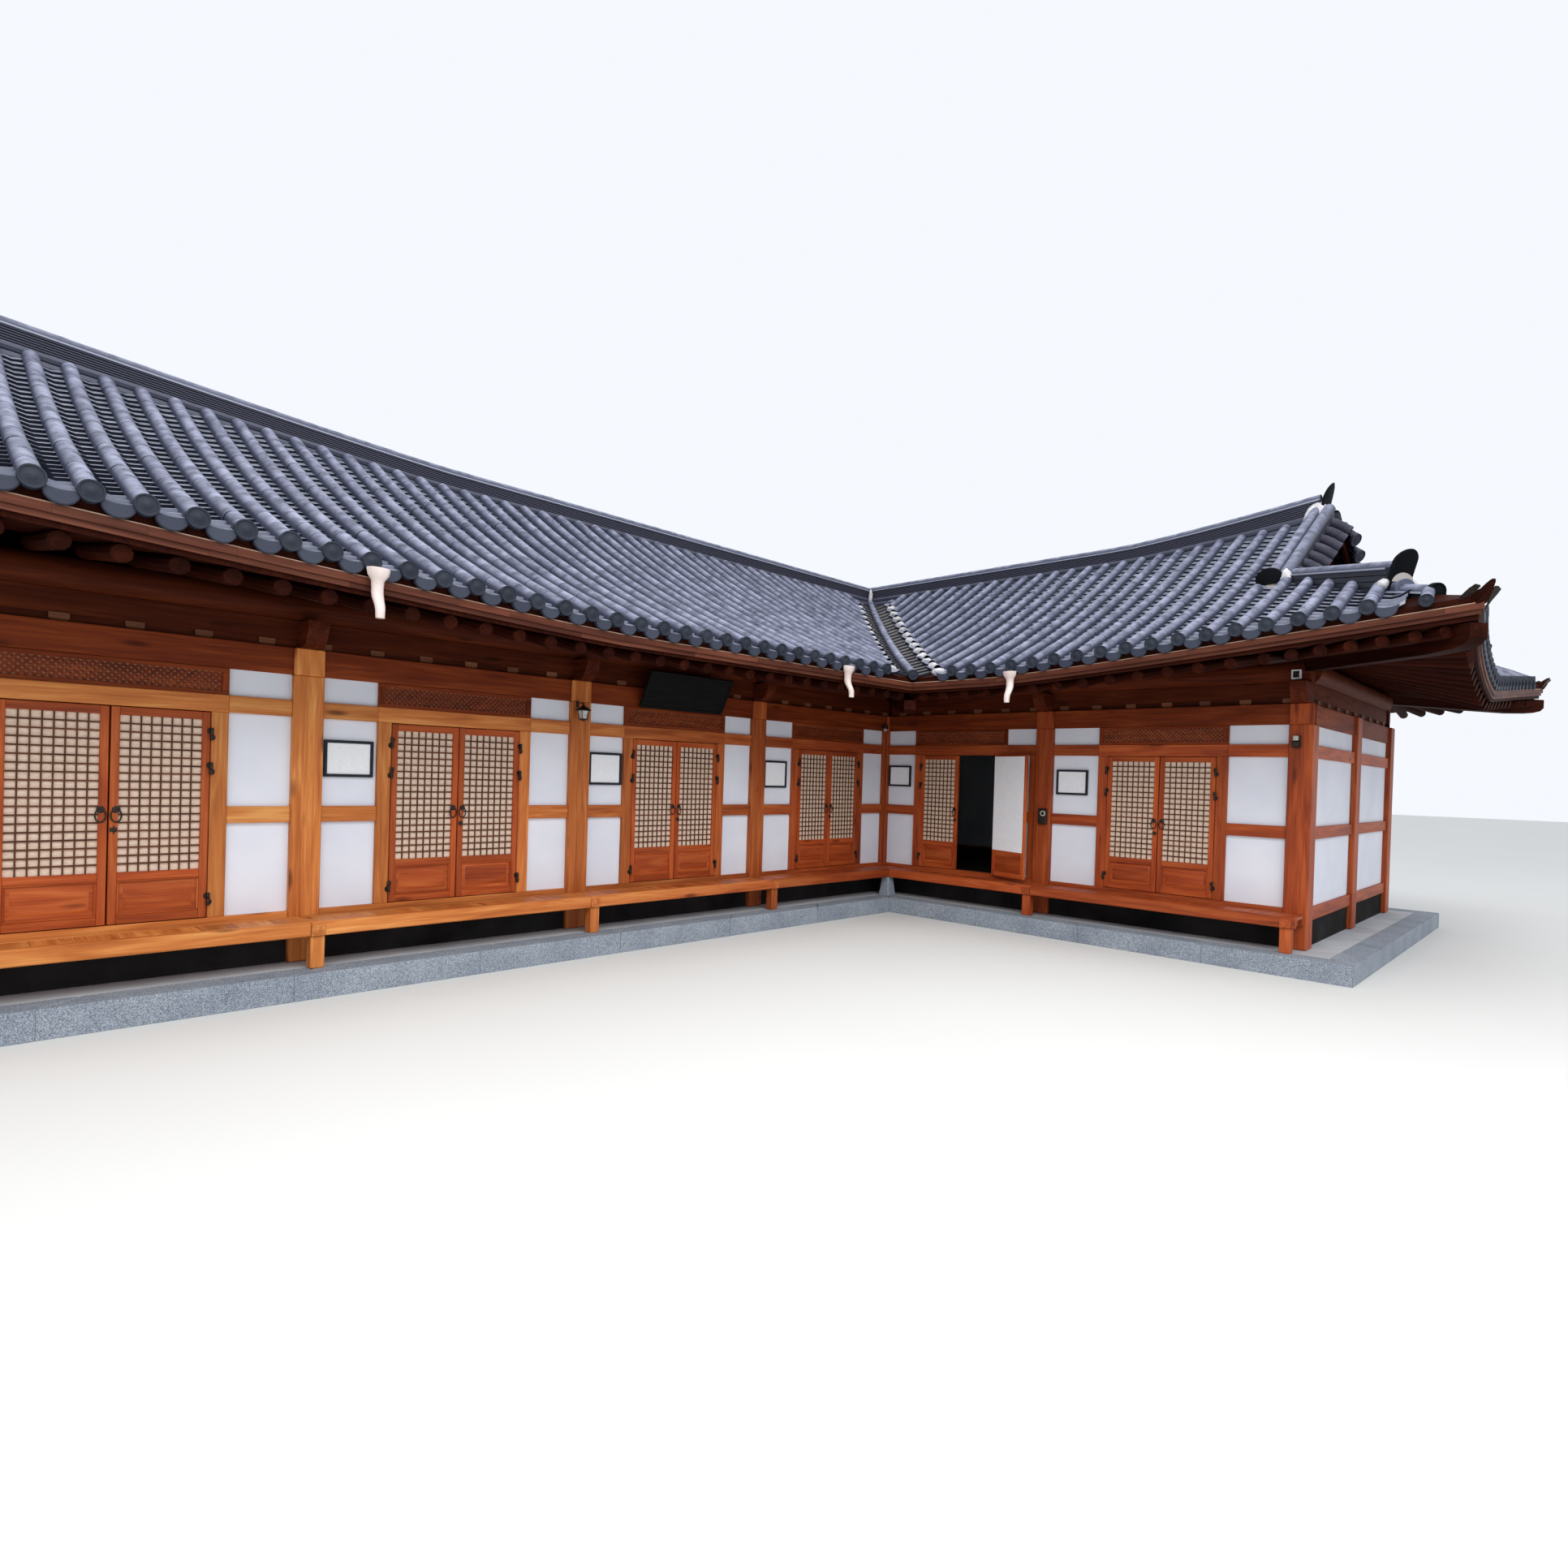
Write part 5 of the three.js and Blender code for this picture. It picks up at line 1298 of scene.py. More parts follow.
def straight_rafter(shape, wing, slope, along, low=RAFTER_FOOT):
    """Rafter across a main slope from low, bent at the purlin, and cut short of the hips and the gable"""
    lift = edge_lift(wing, along, slope * HALF_SPAN)
    limit = HALF_SPAN - 0.05
    if slope > 0:
        limit = min(limit, RIDGE_LINE + HALF_SPAN + along - 0.1)
    if wing.end_eave - along < GABLE_FROM_EAVE:
        limit = min(limit, wing.end_eave - along - 0.1)
    def at(e):
        return along, slope * (HALF_SPAN - e)
    foot = at(low)
    if low < PURLIN_RUN:
        end = min(PURLIN_RUN, limit)
        foot_z = rafter_axis(low, lift)
        share = (end - low) / (PURLIN_RUN - low)
        rafter(shape, wing, foot, at(end), foot_z, foot_z + (rafter_axis(PURLIN_RUN, 0) - foot_z) * share)
        foot = at(end)
    low = max(low, PURLIN_RUN)
    if limit - low > 0.15:
        rafter(shape, wing, foot, at(limit), rafter_axis(low, 0), rafter_axis(limit, 0))


def fan(shape, wing, slope):
    """Fanned rafters each side of the hip at the end corner"""
    for from_end in (1.42, 1.18, 0.94, 0.7, 0.46, 0.24):
        share = from_end / PURLIN_RUN
        for turned in (False, True):
            foot = (from_end, RAFTER_FOOT)
            head = (PURLIN_RUN + 0.02 + 0.2 * share, PURLIN_RUN)
            if turned:
                foot, head = foot[::-1], head[::-1]
            place = [(wing.end_eave - end, slope * (HALF_SPAN - side)) for end, side in (foot, head)]
            lift = edge_lift(wing, *place[0])
            rafter(shape, wing, *place, rafter_axis(RAFTER_FOOT, lift), rafter_axis(PURLIN_RUN, 0))


def make_hip_rafters():
    shape = Shape()
    top, tip = (1.9, 3.5), (0.03, 3.4)
    for wing in WINGS:
        for slope in (-1, 1):
            hip_beam(shape, *(wing.roof(wing.end_eave - e, slope * (HALF_SPAN - e), z) for e, z in (top, tip)))
    corner = HALF_SPAN + RIDGE_LINE
    hip_beam(shape, *(Vector((e - corner, corner - e, z)) for e, z in (top, tip)))
    hip_beam(shape, Vector((-0.6, 0.6, 3.62)), Vector((EAVE_OUT - 0.1, 0.1 - EAVE_OUT, 2.99)))
    shape.piece("hip_rafters", [SOFFIT_SHADE], "dark_timber")


def hip_beam(shape, head, foot):
    """Deep rafter under a hip or valley, its foot cut to a curve"""
    run = (foot - head).normalized()
    side = run.cross(UP).normalized() * 0.075
    length = (foot - head).length
    rings, grains = [], []
    for share, depth in ((0, 0.22), (0.82, 0.22), (0.94, 0.2), (0.98, 0.17), (1, 0.12)):
        section = ((-1, 0), (1, 0), (1, depth), (-1, depth))
        rings.append([head + run * length * share + side * way - UP * (drop + 0.03) for way, drop in section])
        grains += [(length * share, way * 0.075, drop) for way, drop in section]
    loft(shape, rings, grains=grains)


# Eave boards

# Section of each board as (inset from the eave, height over its top), its slot and about how long it is
EAVE_BANDS = [
    (((0.0, -0.078), (0.0, FASCIA_TOP), (0.06, FASCIA_TOP), (0.06, -0.078)), 0, 0.62),
    (((0.016, -0.118), (0.016, -0.079), (0.06, -0.079), (0.06, -0.118)), 0, 0.9),
    (((0.006, FASCIA_TOP), (0.008, -0.016), (0.06, -0.016), (0.06, FASCIA_TOP)), 1, 0.62),
]


def eave_point(edge, share, inset):
    """Point of an eave's edge, a share from 0 to 1 along it and set in from it; the edge is its wing,
    its kind and, for a side, its slope"""
    wing, kind, slope = edge
    half = HALF_SPAN - inset
    end = wing.end_eave - inset
    if kind == "end":
        lift = eave_lift(wing, end_lift_run(wing, HALF_SPAN * (1 - abs(2 * share - 1))))
        return wing.roof(end, -half + 2 * half * share, EAVE_TOP + lift)
    start = -RIDGE_LINE - slope * half
    outer = -RIDGE_LINE - slope * HALF_SPAN
    edge_along = outer + (wing.end_eave - outer) * share
    lift = eave_lift(wing, wing.end_eave - edge_along) + outer_lift(edge_along, slope * HALF_SPAN)
    return wing.roof(start + (end - start) * share, slope * half, EAVE_TOP + lift)


def make_eave_boards():
    shape = Shape()
    edges = [(wing, kind, slope) for wing in WINGS for kind, slope in (("side", -1), ("side", 1), ("end", 0))]
    for edge in edges:
        length = (eave_point(edge, 1, 0) - eave_point(edge, 0, 0)).length
        for outline, slot, board in EAVE_BANDS:
            joints = [0.0]
            while joints[-1] < 1:
                joints.append(joints[-1] + board * random.uniform(0.6, 1.5) / length)
            joints[-1] = 1.0
            for low, high in zip(joints, joints[1:]):
                eave_board(shape, edge, outline, slot, low, high, length)
    shape.piece("eave_boards", [FASCIA, STRIP], "timber")


def eave_board(shape, edge, outline, slot, share_from, share_to, length):
    slack = 0.0008 / length
    low = share_from + (slack if share_from > 0 else 0)
    high = share_to - (slack if share_to < 1 else 0)
    if high <= low:
        return
    shift = random.uniform(0, 40)
    rings, grains = [], []
    for share in split(low, high, 3):
        rings.append([eave_point(edge, share, inset) + UP * z for inset, z in outline])
        grains += [(share * length + shift, inset + shift, z) for inset, z in outline]
    loft(shape, rings, slot, grains=grains)


def corner_place(wing, slope):
    """Places by distance in from a hipped end's corner along both eaves, sideways across the hip, and height"""
    def at(e, sideways, z):
        shift = sideways / math.sqrt(2)
        along = wing.end_eave - e - shift
        across = slope * (HALF_SPAN - e + shift)
        return wing.roof(along, across, main_top(wing, wing.end_eave - max(0, e), HALF_SPAN - max(0, e)) + z)
    return at


def outer_place(e, sideways, z):
    """The same at the outer corner of the two wings"""
    shift = sideways / math.sqrt(2)
    run = RIDGE_LINE + HALF_SPAN - e
    within = RIDGE_LINE + HALF_SPAN - max(0, e)
    return Vector((-run + shift, run + shift, main_top(SHORT, -within, HALF_SPAN - max(0, e)) + z))


def make_horn(at, name):
    """Upturned tip of the corner rafter, with a black metal leaf each side that sheds the rain"""
    shape = Shape()
    profile = ((0.3, -0.03, -0.1, 0.05), (0.2, -0.012, -0.1, 0.05), (0.12, 0.018, -0.09, 0.048),
               (0.06, 0.05, -0.07, 0.042), (0.01, 0.085, -0.03, 0.035), (-0.02, 0.118, 0.03, 0.028),
               (-0.045, 0.14, 0.09, 0.021), (-0.06, 0.147, 0.125, 0.015))
    rings = []
    for e, top, foot, half in profile:
        rings.append([at(e, -half, foot), at(e, half, foot), at(e, half * 0.8, top), at(e, -half * 0.8, top)])
    loft(shape, rings)
    rings = []
    for share, width in ((0, 0.004), (0.2, 0.04), (0.5, 0.064), (0.8, 0.058), (1, 0.012)):
        e, sideways = 0.1 - 0.145 * share, 0.1 - 0.01 * share
        foot = -0.02 + 0.105 * share - 0.05 * share * (1 - share)
        section = ((0, foot), (0.006, foot), (0.012, foot + width), (0.006, foot + width))
        rings.append([at(e, sideways + shift, z) for shift, z in section])
    loft(shape, rings, slot=1)
    rings = []
    for share, width in ((0, 0.004), (0.3, 0.03), (0.6, 0.06), (0.85, 0.072), (1, 0.03)):
        e, sideways = 0.1 - 0.1 * share, -0.15 + 0.065 * share
        z = -0.085 + 0.19 * share + 0.015 * math.sin(math.pi * share)
        rings.append([at(e, sideways - width, z), at(e, sideways, z),
                      at(e - 0.006, sideways, z + 0.004), at(e - 0.006, sideways - width, z + 0.004)])
    loft(shape, rings, slot=1)
    shape.piece(f"{name}_horn", [SOFFIT_SHADE, IRON], "dark_timber")


STRIP = cement_finish("pale_strip", (0.3, 0.19, 0.13), (0.46, 0.32, 0.24))


# Ridges

def ridge_outline(half, height, cap, courses):
    """Section of a ridge below its round cap, as (sideways, height) from one foot up to the top"""
    top, base = height - cap, 0.02
    outline = [(half, -0.05), (half, base)]
    step = (top - base - 0.02) / courses
    for i in range(courses):
        z = base + i * step
        outline += [(half - 0.012, z + 0.004), (half + 0.006, z + 0.008), (half + 0.006, z + step - 0.002)]
    return outline + [(half + 0.02, top - 0.018), (half + 0.02, top - 0.004), (half - 0.02, top)]


def sweep(shape, runs, outline, at, slots):
    """Runs a section, mirrored about its middle, along a ridge, with a slot for each of its faces"""
    full = outline + [(-side, z) for side, z in reversed(outline)]
    count = len(full)
    points = [tuple(at(run, side, z)) for run in runs for side, z in full]
    faces = strip_faces(len(runs), count, False)
    faces.append(tuple(range(count)))
    faces.append(tuple(range((len(runs) - 1) * count, len(runs) * count))[::-1])
    half_slots = slots + [slots[-1]] + slots[::-1]
    shape.add(points, faces, half_slots[:count - 1] * (len(runs) - 1) + [0, 0])


def ridge_end(wing):
    return wing.last - 0.4


def ridge_height(wing, along):
    share = max(0.0, 1 - (ridge_end(wing) - along) / 3.3)
    return 0.43 + (wing.ridge_end_rise + 0.005) * share ** 2


def make_main_ridge(wing):
    """Two round courses, thin lapped courses, a pale line painted as a highlight, and a round cap"""
    shape = Shape()
    end = ridge_end(wing)
    def at(along, across, z):
        skew = -across if along < -RIDGE_LINE + 0.001 else 0
        growth = ridge_height(wing, along) / 0.385
        return wing.roof(along + skew, across, main_top(wing, along, 0) + z * growth)
    runs = stations(-RIDGE_LINE, end, 0.3)
    outline, slots = [(0.18, -0.07)], []
    for centre, side, radius in ((0.025, 0.16, 0.043), (0.108, 0.132, 0.037)):
        turns = [math.radians(t) for t in (-80, -45, 0, 45, 80)]
        outline += [(side + radius * math.cos(t), centre + radius * math.sin(t)) for t in turns]
        slots += [0] + [5] * 4
    courses, start, step = 6, 0.152, 0.0195
    for i in range(courses):
        z = start + i * step
        outline += [(0.1, z), (0.1, z + 0.006), (0.118, z + 0.008), (0.118, z + step - 0.001)]
        slots += [0, 0, 0, 3]
    top = start + courses * step
    outline += [(0.12, top), (0.132, top + 0.003), (0.132, top + 0.014), (0.05, top + 0.018)]
    sweep(shape, runs, outline, at, slots + [0, 1, 1, 1])
    round_row(shape, [at(along, 0, 0.285) for along in runs], -wing.out, 0.076, 0.012, 2)
    make_ridge_tile(shape, wing, end)
    materials = [COURSE, EDGE_HIGHLIGHT, ROUND, NET, BLACK_TILE, BED_TILE]
    shape.piece(f"{wing.name}_main_ridge", materials, "tile", replaces=[f"{wing.name}_ridge"])


def make_ridge_tile(shape, wing, end):
    """End tile of the main ridge: a pointed leaf that curls outwards"""
    base = main_top(wing, end, 0) + 0.04
    high = ridge_height(wing, end) + 0.07
    rings = []
    for offset, inset in ((-0.03, 0.012), (-0.022, 0.0), (0.012, 0.0), (0.02, 0.012)):
        size = 1 - inset / 0.16
        ring = []
        for across, z in end_tile_outline(0.155, 0.04, high, 1.5):
            share = z / high
            along = end + offset * (1 - 0.55 * share) + 0.13 * share * share
            ring.append(wing.roof(along, across * size, base + (z - 0.04) * size))
        rings.append(ring)
    loft(shape, rings, 4)


def end_tile_outline(half, low, high, point=1.0):
    """Arch of an end tile; a greater point draws its crown in to a tip"""
    crown = half * 0.9 * point
    outline = [(-half * 0.9, low), (half * 0.9, low)]
    for i in range(15):
        angle = math.pi * i / 14
        side = math.copysign(abs(math.cos(angle)) ** point, math.cos(angle))
        outline.append((side * half, high - crown + math.sin(angle) * crown))
    return outline


def slope_ridge(shape, at, reach, half, height, caps, courses, tile=0.3, line=True):
    """Ridge down a slope: courses, a pale line painted as a highlight and one or two rows of round caps; height
    is a number or a function of the place"""
    runs = stations(*reach, tile)
    radius = 0.078 if caps == 1 else 0.07
    level = height if callable(height) else lambda run: height
    full = level(runs[-1])
    def body(run, sideways, z):
        return at(run, sideways, z + (level(run) - full) * max(0.0, min(1.0, z / 0.05)))
    outline = ridge_outline(half, full, radius * 0.9, courses)
    sweep(shape, runs, outline, body, [0] * (len(outline) - 4) + [1 if line else 0] * 3)
    side = (at(runs[0], 0.1, 0) - at(runs[0], -0.1, 0)).normalized()
    for shift in (0.0,) if caps == 1 else (-0.068, 0.068):
        points = [at(run, shift, level(run) - radius - 0.012) for run in runs]
        round_row(shape, points, side, radius, 0.012, 2)


def upright_tile(shape, at, run, thickness, half, low, high, lean=0.0, point=1.0, slot=3):
    """End tile of a ridge down a slope, leaning out past it"""
    middle = (low + high) / 2
    way = math.copysign(1, thickness)
    rings = []
    for reach, size in ((0, 0.93), (0.12, 1), (0.88, 1), (1, 0.93)):
        ring = []
        for side, z in end_tile_outline(half, low, high, point):
            place = middle + (z - middle) * size
            share = max(0.0, (place - low) / (high - low))
            thin = thickness * (0.5 + (reach - 0.5) * (1 - 0.4 * share))
            ring.append(at(run + thin + way * lean * share ** 1.5, side * size, place))
        rings.append(ring)
    loft(shape, rings, slot)


def make_descending_ridge(wing, slope):
    """Two rows of round caps side by side; the inner one ends in a black tile over a rounded foot"""
    shape, mortar = Shape(), Shape()
    line = wing.last - 0.36
    def at(across, sideways, z):
        return wing.roof(line + sideways, slope * across, main_top(wing, line, across) + z)
    def inner(across, sideways, z):
        return at(across, sideways - 0.06, z)
    def height(across):
        return 0.205 + 0.125 * max(0.0, 1 - across / 0.8) ** 1.5
    slope_ridge(shape, at, (2.06, 0.12), 0.125, height, 2, 4, line=False)
    upright_tile(shape, inner, 2.1, 0.045, 0.14, 0.105, 0.295, 0.04)
    upright_tile(shape, inner, 2.06, 0.07, 0.125, -0.04, 0.088, slot=0)
    upright_tile(mortar, inner, 2.06, 0.075, 0.118, 0.05, 0.118, slot=1)
    lump(mortar, at(2.17, 0.125, 0.12), (0.075, 0.08, 0.15))
    apron(mortar, at, height)
    name = f"{wing.name}_{SLOPE_NAMES[slope]}"
    shape.piece(f"{name}_descending_ridge", [COURSE, EDGE_HIGHLIGHT, ROUND, BLACK_TILE], "tile")
    mortar.piece(f"{name}_descending_mortar", [MORTAR, OLD_MORTAR], "tile", sharp=60)
    make_verge(wing, slope, f"{name}_verge")


def apron(shape, at, height):
    """Smooth mortar on the inner flank and over the head of a descending ridge"""
    rings = []
    for run, thick, over in ((0.1, 0.07, 0.05), (0.18, 0.065, 0.03), (0.3, 0.055, 0.0), (0.44, 0.04, -0.02),
                             (0.58, 0.012, -0.04)):
        top = height(run) + over
        left = -0.138 - thick
        arc = [math.pi * (1 - i / 8) for i in range(1, 7)]
        section = [(left, -0.01), (left, top * 0.5)]
        section += [(-0.068 + (0.07 + thick) * math.cos(a), top * 0.5 + top * 0.5 * math.sin(a)) for a in arc]
        section += [(0.0, top * 0.8), (0.0, -0.01)]
        rings.append([at(run, sideways, z) for sideways, z in section])
    loft(shape, rings)


def make_verge(wing, slope, name):
    """Short tiles that fall outwards from the descending ridge over the gable's edge"""
    shape = Shape()
    section = ((0.08, -0.13), (0.14, -0.075), (0.21, -0.025), (0.27, 0.005), (0.34, 0.015))
    def falling(across, inset):
        z = main_top(wing, wing.last - 0.2, across)
        return [wing.roof(wing.last - inset - out, slope * across, z + drop) for out, drop in section]
    across = 0.2
    while across < 1.95:
        side, points = tilted(wing, across, slope), falling(across, 0)
        round_row(shape, points, side, 0.078, 0.05)
        run = (points[1] - points[0]).normalized()
        end_disc(shape, points[0], side, upward(run, side), run, 0.08, 0, 0.05, 0.012)
        middle = across - 0.13
        flat_row(shape, falling(middle, 0.02), tilted(wing, middle, slope), 0.13, (1, 1), -0.02)
        across += 0.25
    shape.piece(name, [VERGE, COURSE], "tile", closed=False)


def tilted(wing, across, slope):
    here = wing.roof(0, slope * across, main_top(wing, wing.last - 0.4, across))
    there = wing.roof(0, slope * (across + 0.1), main_top(wing, wing.last - 0.4, across + 0.1))
    return (there - here).normalized()


def make_hip_ridge(at, name, top):
    """Two stages: a tall ridge that rises towards its end tile, and a low one beyond it"""
    shape, mortar = Shape(), Shape()
    def height(e):
        share = max(0.0, (2.01 - e) / (2.01 - 0.666))
        return 0.16 + 0.18 * share ** 2.2
    slope_ridge(shape, at, (top, 0.666), 0.11, height, 1, 4, 0.16)
    slope_ridge(shape, at, (0.69, 0.35), 0.1, 0.12, 1, 1, 0.17)
    upright_tile(shape, at, 0.674, -0.045, 0.115, 0.12, 0.445, 0.1, 1.15)
    upright_tile(shape, at, 0.64, -0.07, 0.112, 0.0, 0.176, slot=2)
    cap_end(mortar, at, 0.615, 0.1, 0.23, 1)
    side = (at(0.35, 0.1, 0) - at(0.35, -0.1, 0)).normalized()
    run = (at(0.45, 0, 0) - at(0.35, 0, 0)).normalized()
    end_disc(shape, at(0.35, 0, 0.0), side, upward(run, side), run, 0.082, 3, 0.052, 0.025)
    for sideways in (0.15, -0.15):
        lump(mortar, at(0.66, sideways, 0.11), (0.062, 0.062, 0.06))
    shape.piece(f"{name}_ridge_tiles", [COURSE, EDGE_HIGHLIGHT, ROUND, BLACK_TILE], "tile")
    mortar.piece(f"{name}_ridge_mortar", [MORTAR, OLD_MORTAR], "tile", sharp=60)
    make_horn(at, name)


def cap_end(shape, at, e, half, top, slot):
    """Mortar face of the cap tile that carries an end tile"""
    turns = [math.pi * i / 10 for i in range(11)]
    rings = [[at(e + reach, math.cos(a) * half * size, top - 0.09 + math.sin(a) * 0.09 * size) for a in turns]
             for reach, size in ((0.06, 0.94), (0.0, 1.0), (-0.02, 0.9))]
    loft(shape, rings, slot)


def make_hip_ridges():
    for wing in WINGS:
        for slope, where in SLOPE_NAMES.items():
            make_hip_ridge(corner_place(wing, slope), f"{wing.name}_{where}_hip", 2.01)
    make_hip_ridge(outer_place, "outer_hip", HALF_SPAN - 0.14)


def make_gable(wing):
    """Upright boards under the verge, with a bargeboard down each side, both near black as painted shade"""
    shape = Shape()
    face, width, thickness = wing.last - 0.37, 0.18, 0.03
    foot = end_top(wing, face, 0) - 0.05
    across = -1.8
    while across < 1.79:
        low, high = across + SLIT, across + width - SLIT
        points = []
        for along in (face, face + thickness):
            for side, top in ((low, True), (high, True), (high, False), (low, False)):
                z = main_top(wing, face, side) - 0.02 if top else foot
                points.append(tuple(wing.roof(along, side, max(z, foot + 0.01))))
        faces = [(0, 1, 2, 3), (7, 6, 5, 4), (0, 4, 5, 1), (1, 5, 6, 2), (2, 6, 7, 3), (3, 7, 4, 0)]
        shape.add(points, faces, 0, member_grain(points, 2))
        across += width
    for slope in (-1, 1):
        bargeboard(shape, wing, slope)
    shape.piece(f"{wing.name}_gable_boards", [SOFFIT_SHADE, SOFFIT_SHADE], "timber", replaces=[f"{wing.name}_gable"])


def bargeboard(shape, wing, slope):
    face, thickness = wing.last - 0.2, 0.035
    rings, grains = [], []
    for across in stations(0.0, 1.98, 0.25):
        z = main_top(wing, face, across)
        section = ((face, 0.02), (face + thickness, 0.02), (face + thickness, 0.2), (face, 0.2))
        rings.append([wing.roof(along, slope * across, z - drop) for along, drop in section])
        grains += [(across, along, drop) for along, drop in section]
    loft(shape, rings, 1, grains=grains)


# Fittings

def make_spout(name, wing, along, low):
    """Glazed spout: a scalloped cap over an S-shaped neck. Each ring has its height, its place out past
    the eave, its half sizes along and out, and how deep its lobes are"""
    profile = (
        (0.365, 0.058, 0.084, 0.056, 1), (0.352, 0.058, 0.084, 0.056, 1), (0.315, 0.055, 0.076, 0.053, 1),
        (0.29, 0.05, 0.056, 0.046, 0.4), (0.272, 0.045, 0.045, 0.042, 0), (0.23, 0.043, 0.042, 0.04, 0),
        (0.19, 0.044, 0.042, 0.04, 0), (0.155, 0.056, 0.041, 0.037, 0), (0.12, 0.078, 0.038, 0.034, 0),
        (0.09, 0.097, 0.036, 0.032, 0), (0.06, 0.106, 0.034, 0.031, 0), (0.0, 0.108, 0.031, 0.029, 0))
    sides, lobe_count = 32, 8
    rings = []
    for z, out, half_along, half_out, lobes in profile:
        ring = []
        for i, (x, y) in enumerate(circle(sides)):
            size = 1 - 0.05 * lobes * (0.5 - 0.5 * math.cos(math.tau * i / sides * lobe_count))
            reach = EAVE_OUT + out + y * half_out * size
            ring.append(wing.point(along + x * half_along * size, reach, low + z))
        rings.append(ring)
    shape = Shape()
    loft(shape, rings)
    shape.piece(f"{name}_glazed", [GLAZE], "spout", replaces=[name])


def make_nameboard():
    """Black board with a raised border, left bare, leaning out from the wall"""
    shape = Shape(LONG.front)
    low, high = Vector((0.045, 2.668)), Vector((0.265, 3.068))
    lean = (high - low).normalized()
    out = Vector((lean.y, -lean.x))
    height = (high - low).length
    def plank(reach, rise, proud, axis=0):
        corners = [(reach[0], rise[0]), (reach[1], rise[0]), (reach[1], rise[1]), (reach[0], rise[1])]
        points = [(along, *(low + lean * r + out * p)) for p in proud for along, r in corners]
        faces = [(3, 2, 1, 0), (4, 5, 6, 7), (0, 1, 5, 4), (1, 2, 6, 5), (2, 3, 7, 6), (3, 0, 4, 7)]
        shape.add(points, faces, 0, member_grain(points, axis))
    plank((3.5, 4.7), (0.02, height - 0.02), (-0.012, 0.008))
    for rise in rims((0.0, height), 0.03):
        plank((3.48, 4.72), rise, (-0.014, 0.016))
    for reach in rims((3.48, 4.72), 0.03):
        plank(reach, within((0.0, height), 0.03), (-0.014, 0.016), 2)
    for centre in (3.72, 4.48):
        box(shape, around(centre, 0.015), (-0.0097, 0.055), (2.674, 2.7), 0.003, slot=1)
    shape.piece("nameboard_bare", [LACQUER, IRON], "board", replaces=["nameboard"])


def frame_round(shape, reach, z, out, width, bevel, axis):
    """Two stiles, whose grain runs along axis, with a rail between them at the top and foot"""
    for along in rims(reach, width):
        box(shape, along, out, z, bevel, axis, 1)
    for level in rims(z, width):
        box(shape, within(reach, width), out, level, bevel, 0, 1)


FRAMED_SHEETS = [
    ("a", LONG, (7.611, 8.026), (1.797, 2.122)), ("b", LONG, (4.9, 5.33), (1.765, 2.125)),
    ("c", LONG, (2.2, 2.63), (1.765, 2.125)), ("d", SHORT, (0.042, 0.445), (1.822, 2.137)),
    ("e", SHORT, (2.79, 3.215), (1.794, 2.12)),
]


def make_framed_sheets():
    """Dark frames round bare sheets, hung on plaster panels"""
    border = 0.026
    for name, wing, reach, z in FRAMED_SHEETS:
        shape = Shape(wing.front)
        frame_round(shape, reach, z, (-0.039, -0.008), border, 0.003, 2)
        box(shape, within(reach, border), (-0.039, -0.022), within(z, border))
        shape.piece(f"framed_sheet_{name}", [SHEET, FRAME_WOOD], "door")


# Lamps and a switch box

def at_column(wing, along):
    """Coordinates from the middle of a column's face: along the wall, out and up"""
    def place(side, out, z):
        return wing.point(along + side, COLUMN_PROUD + out, z)
    return place


def make_lantern():
    """Hanging lantern on a short iron arm: hipped black cap, pale glass between four bars, turned foot"""
    shape = Shape(at_column(LONG, 5.465))
    side, out, hook, scale = 0.06, 0.12, 2.645, 0.74
    rod(shape, (side, GAP, hook - 0.006), (side, out, hook - 0.006), 0.005, 8, 0.001)
    box(shape, around(side, 0.016), (GAP, 0.008), (hook - 0.05, hook + 0.02), 0.002)
    def squares(profile, slot=0):
        loft(shape, [level_ring(around(side, half * scale), around(out, half * scale), hook - drop * scale)
                     for drop, half in profile], slot)
    squares(((0.0, 0.006), (0.042, 0.014), (0.06, 0.02), (0.1, 0.075), (0.112, 0.082), (0.12, 0.08)))
    squares(((0.1201, 0.05), (0.235, 0.036)), 1)
    for x in (-1, 1):
        for y in (-1, 1):
            ends = [(side + x * half * scale, out + y * half * scale, hook - drop * scale)
                    for half, drop in ((0.052, 0.12), (0.038, 0.24))]
            rod(shape, *ends, 0.004, 6, 0.001)
    squares(((0.235, 0.044), (0.246, 0.044), (0.256, 0.024), (0.27, 0.01)))
    shape.piece("lantern", [IRON, LAMP_GLASS], "board")


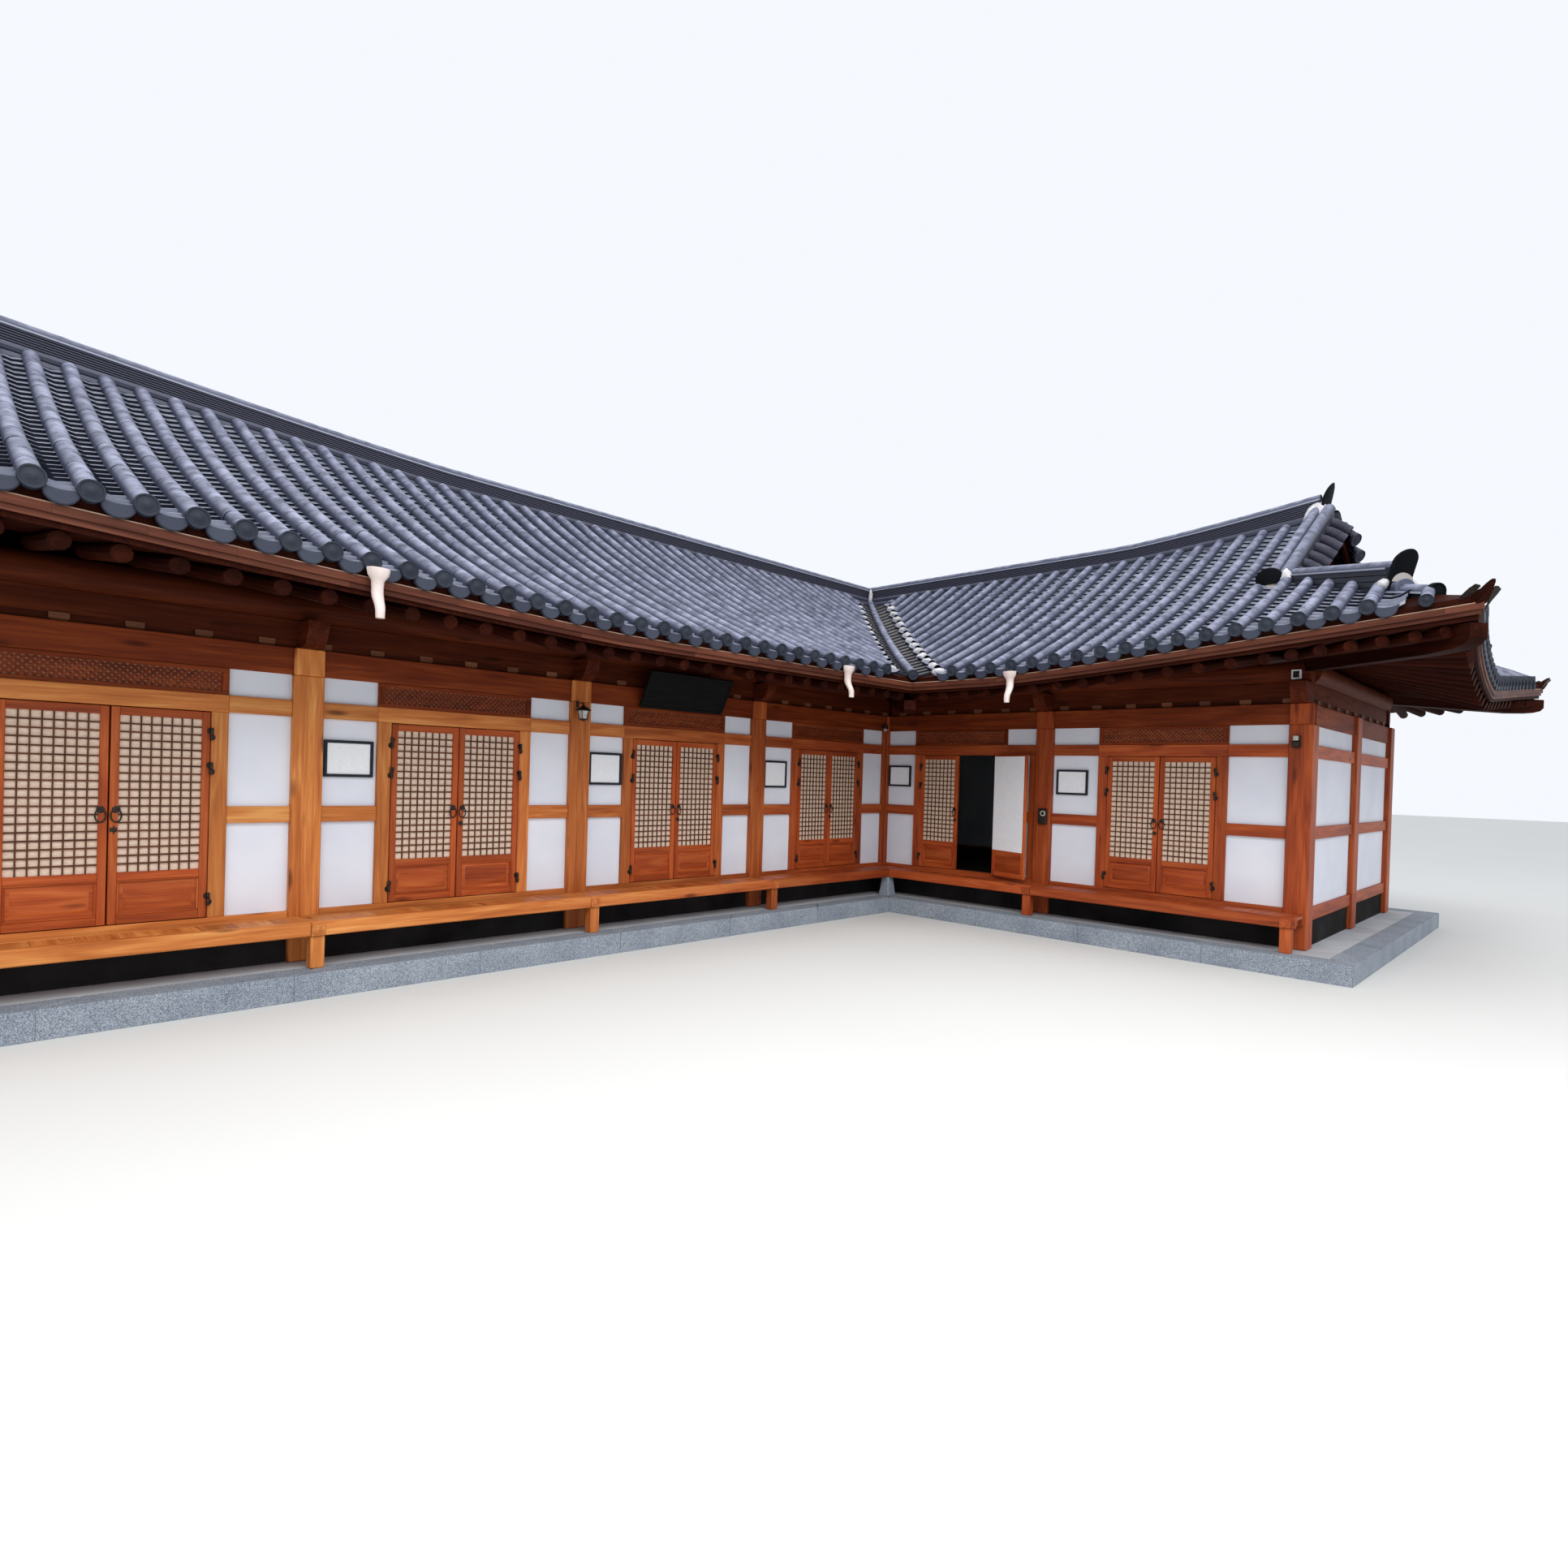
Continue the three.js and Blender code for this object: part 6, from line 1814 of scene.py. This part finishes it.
def make_wall_lamps():
    """Small lamps with a shaded glass, a junction box and a dark switch box with a round dial"""
    shape = Shape(at_column(SHORT, 5.619))
    box(shape, (-0.075, 0.005), (GAP, 0.03), (2.4, 2.53), 0.006)
    box(shape, (-0.07, 0.0), (0.03, 0.1), (2.405, 2.47), 0.008)
    box(shape, (-0.058, -0.012), (0.03, 0.09), (2.478, 2.53), 0.006, slot=1)
    shape.piece("end_lamp", [IRON, LAMP_GLASS], "board")
    shape = Shape(SHORT.front)
    reach, z, border = (5.515, 5.605), (3.15, 3.25), 0.014
    frame_round(shape, reach, z, (0.022, 0.07), border, 0.002, 0)
    box(shape, within(reach, border), (0.022, 0.058), within(z, border))
    shape.piece("junction_box", [IRON, SHEET], "board")
    shape = Shape(at_column(SHORT, 2.618))
    box(shape, (-0.037, 0.085), (GAP, 0.05), (1.39, 1.6), 0.014)
    dial(shape, 0.04, 1.535, ((0.05, 0.036), (0.056, 0.036), (0.058, 0.03)), 18, 1)
    dial(shape, 0.04, 1.535, ((0.058, 0.024), (0.062, 0.022)), 14)
    shape.piece("switch_box", [IRON, LAMP_GLASS], "board")
    shape = Shape()
    box(shape, (0.0256, 0.09), (-0.17, -0.1), (2.69, 2.75), 0.008)
    box(shape, (0.036, 0.08), (-0.16, -0.11), (2.655, 2.69), 0.01, slot=1)
    shape.piece("corner_lamp", [IRON, LAMP_GLASS], "board")


def make_walls():
    for wing in WINGS:
        for bay in range(len(wing.columns) - 1):
            make_bay(wing, bay)
            opened = wing is SHORT and bay == 0
            make_leaf(wing, bay, 1, 0.0)
            make_leaf(wing, bay, -1, OPEN_LEAF_ANGLE if opened else 0.0)
        make_rear_wall(wing)
        make_end_wall(wing)


def paint_kept_nodes():
    """Gives each node that stays its finish"""
    for name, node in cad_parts.items():
        if "plaster" in name or name == "floor_base":
            node.data.materials.clear()
            # floor_base takes the near-black painted-shade finish
            node.data.materials.append(PLASTER if "plaster" in name else RUBBLE_SHADE)


# Camera, light and floor

def make_camera():
    """Camera fitted to the photo by the columns, sill, lintel and eave lines"""
    yaw, pitch, roll = 0.76929, -0.00940, 0.03059
    level = Vector((-math.sin(yaw), math.cos(yaw), 0))
    forward = level * math.cos(pitch) + UP * math.sin(pitch)
    right = forward.cross(UP).normalized()
    up = right.cross(forward)
    tipped_right = right * math.cos(roll) + up * math.sin(roll)
    tipped_up = up * math.cos(roll) - right * math.sin(roll)
    data = bpy.data.cameras.new("camera")
    data.sensor_width = 36
    data.lens = 36 * 1060.757 / 1932
    data.clip_end = 500
    camera = bpy.data.objects.new("camera", data)
    turn = Matrix((tipped_right, tipped_up, -forward)).transposed().to_4x4()
    camera.matrix_world = Matrix.Translation((8.104, -10.629, 1.926)) @ turn
    bpy.context.scene.collection.objects.link(camera)
    bpy.context.scene.camera = camera


def make_floor():
    radius, below = 90, -0.002
    mesh = bpy.data.meshes.new("floor")
    mesh.from_pydata([(radius * x, radius * y, below) for x, y in circle(64)], [], [tuple(range(64))])
    mesh.materials.append(clouded("pale_floor", 0.9, (0.66, 0.66, 0.645), (0.68, 0.68, 0.665), (0.3, 3)))
    floor = bpy.data.objects.new("floor", mesh)
    bpy.context.scene.collection.objects.link(floor)


def make_light():
    """Even sky with a broad lamp over the courtyard"""
    world = bpy.data.worlds.new("soft_light")
    world.use_nodes = True
    background = world.node_tree.nodes["Background"]
    background.inputs["Color"].default_value = (0.92, 0.95, 1.0, 1)
    background.inputs["Strength"].default_value = 1.0
    bpy.context.scene.world = world
    data = bpy.data.lights.new("overhead", "AREA")
    data.size = 16
    data.energy = 2600
    data.color = (1.0, 0.985, 0.96)
    lamp = bpy.data.objects.new("overhead", data)
    place, aim = Vector((9.0, -9.0, 14.0)), Vector((1.0, -3.0, 2.0))
    lamp.matrix_world = Matrix.Translation(place) @ (place - aim).to_track_quat("Z", "Y").to_matrix().to_4x4()
    bpy.context.scene.collection.objects.link(lamp)
    bpy.context.scene.view_settings.view_transform = "Standard"


make_camera()
make_light()
make_floor()
paint_kept_nodes()
make_podium()
make_corner_stone()
make_veranda(LONG, COLUMN_PROUD + GAP)
make_veranda(SHORT, VERANDA_DEPTH + GAP)
make_walls()
make_plates()
for each_wing in WINGS:
    make_under_roof(each_wing)
    make_rafters(each_wing)
    make_slope(each_wing, -1)
    make_slope(each_wing, 1)
    make_end_slope(each_wing)
    make_main_ridge(each_wing)
    make_descending_ridge(each_wing, -1)
    make_descending_ridge(each_wing, 1)
    make_gable(each_wing)
make_valley()
make_hip_rafters()
make_eave_boards()
make_hip_ridges()
make_nameboard()
make_framed_sheets()
make_lantern()
make_wall_lamps()
make_spout("long_spout_1", LONG, 2.9, 2.865)
make_spout("long_spout_2", LONG, 8.215, 2.972)
make_spout("short_spout_1", SHORT, 2.98, 2.857)
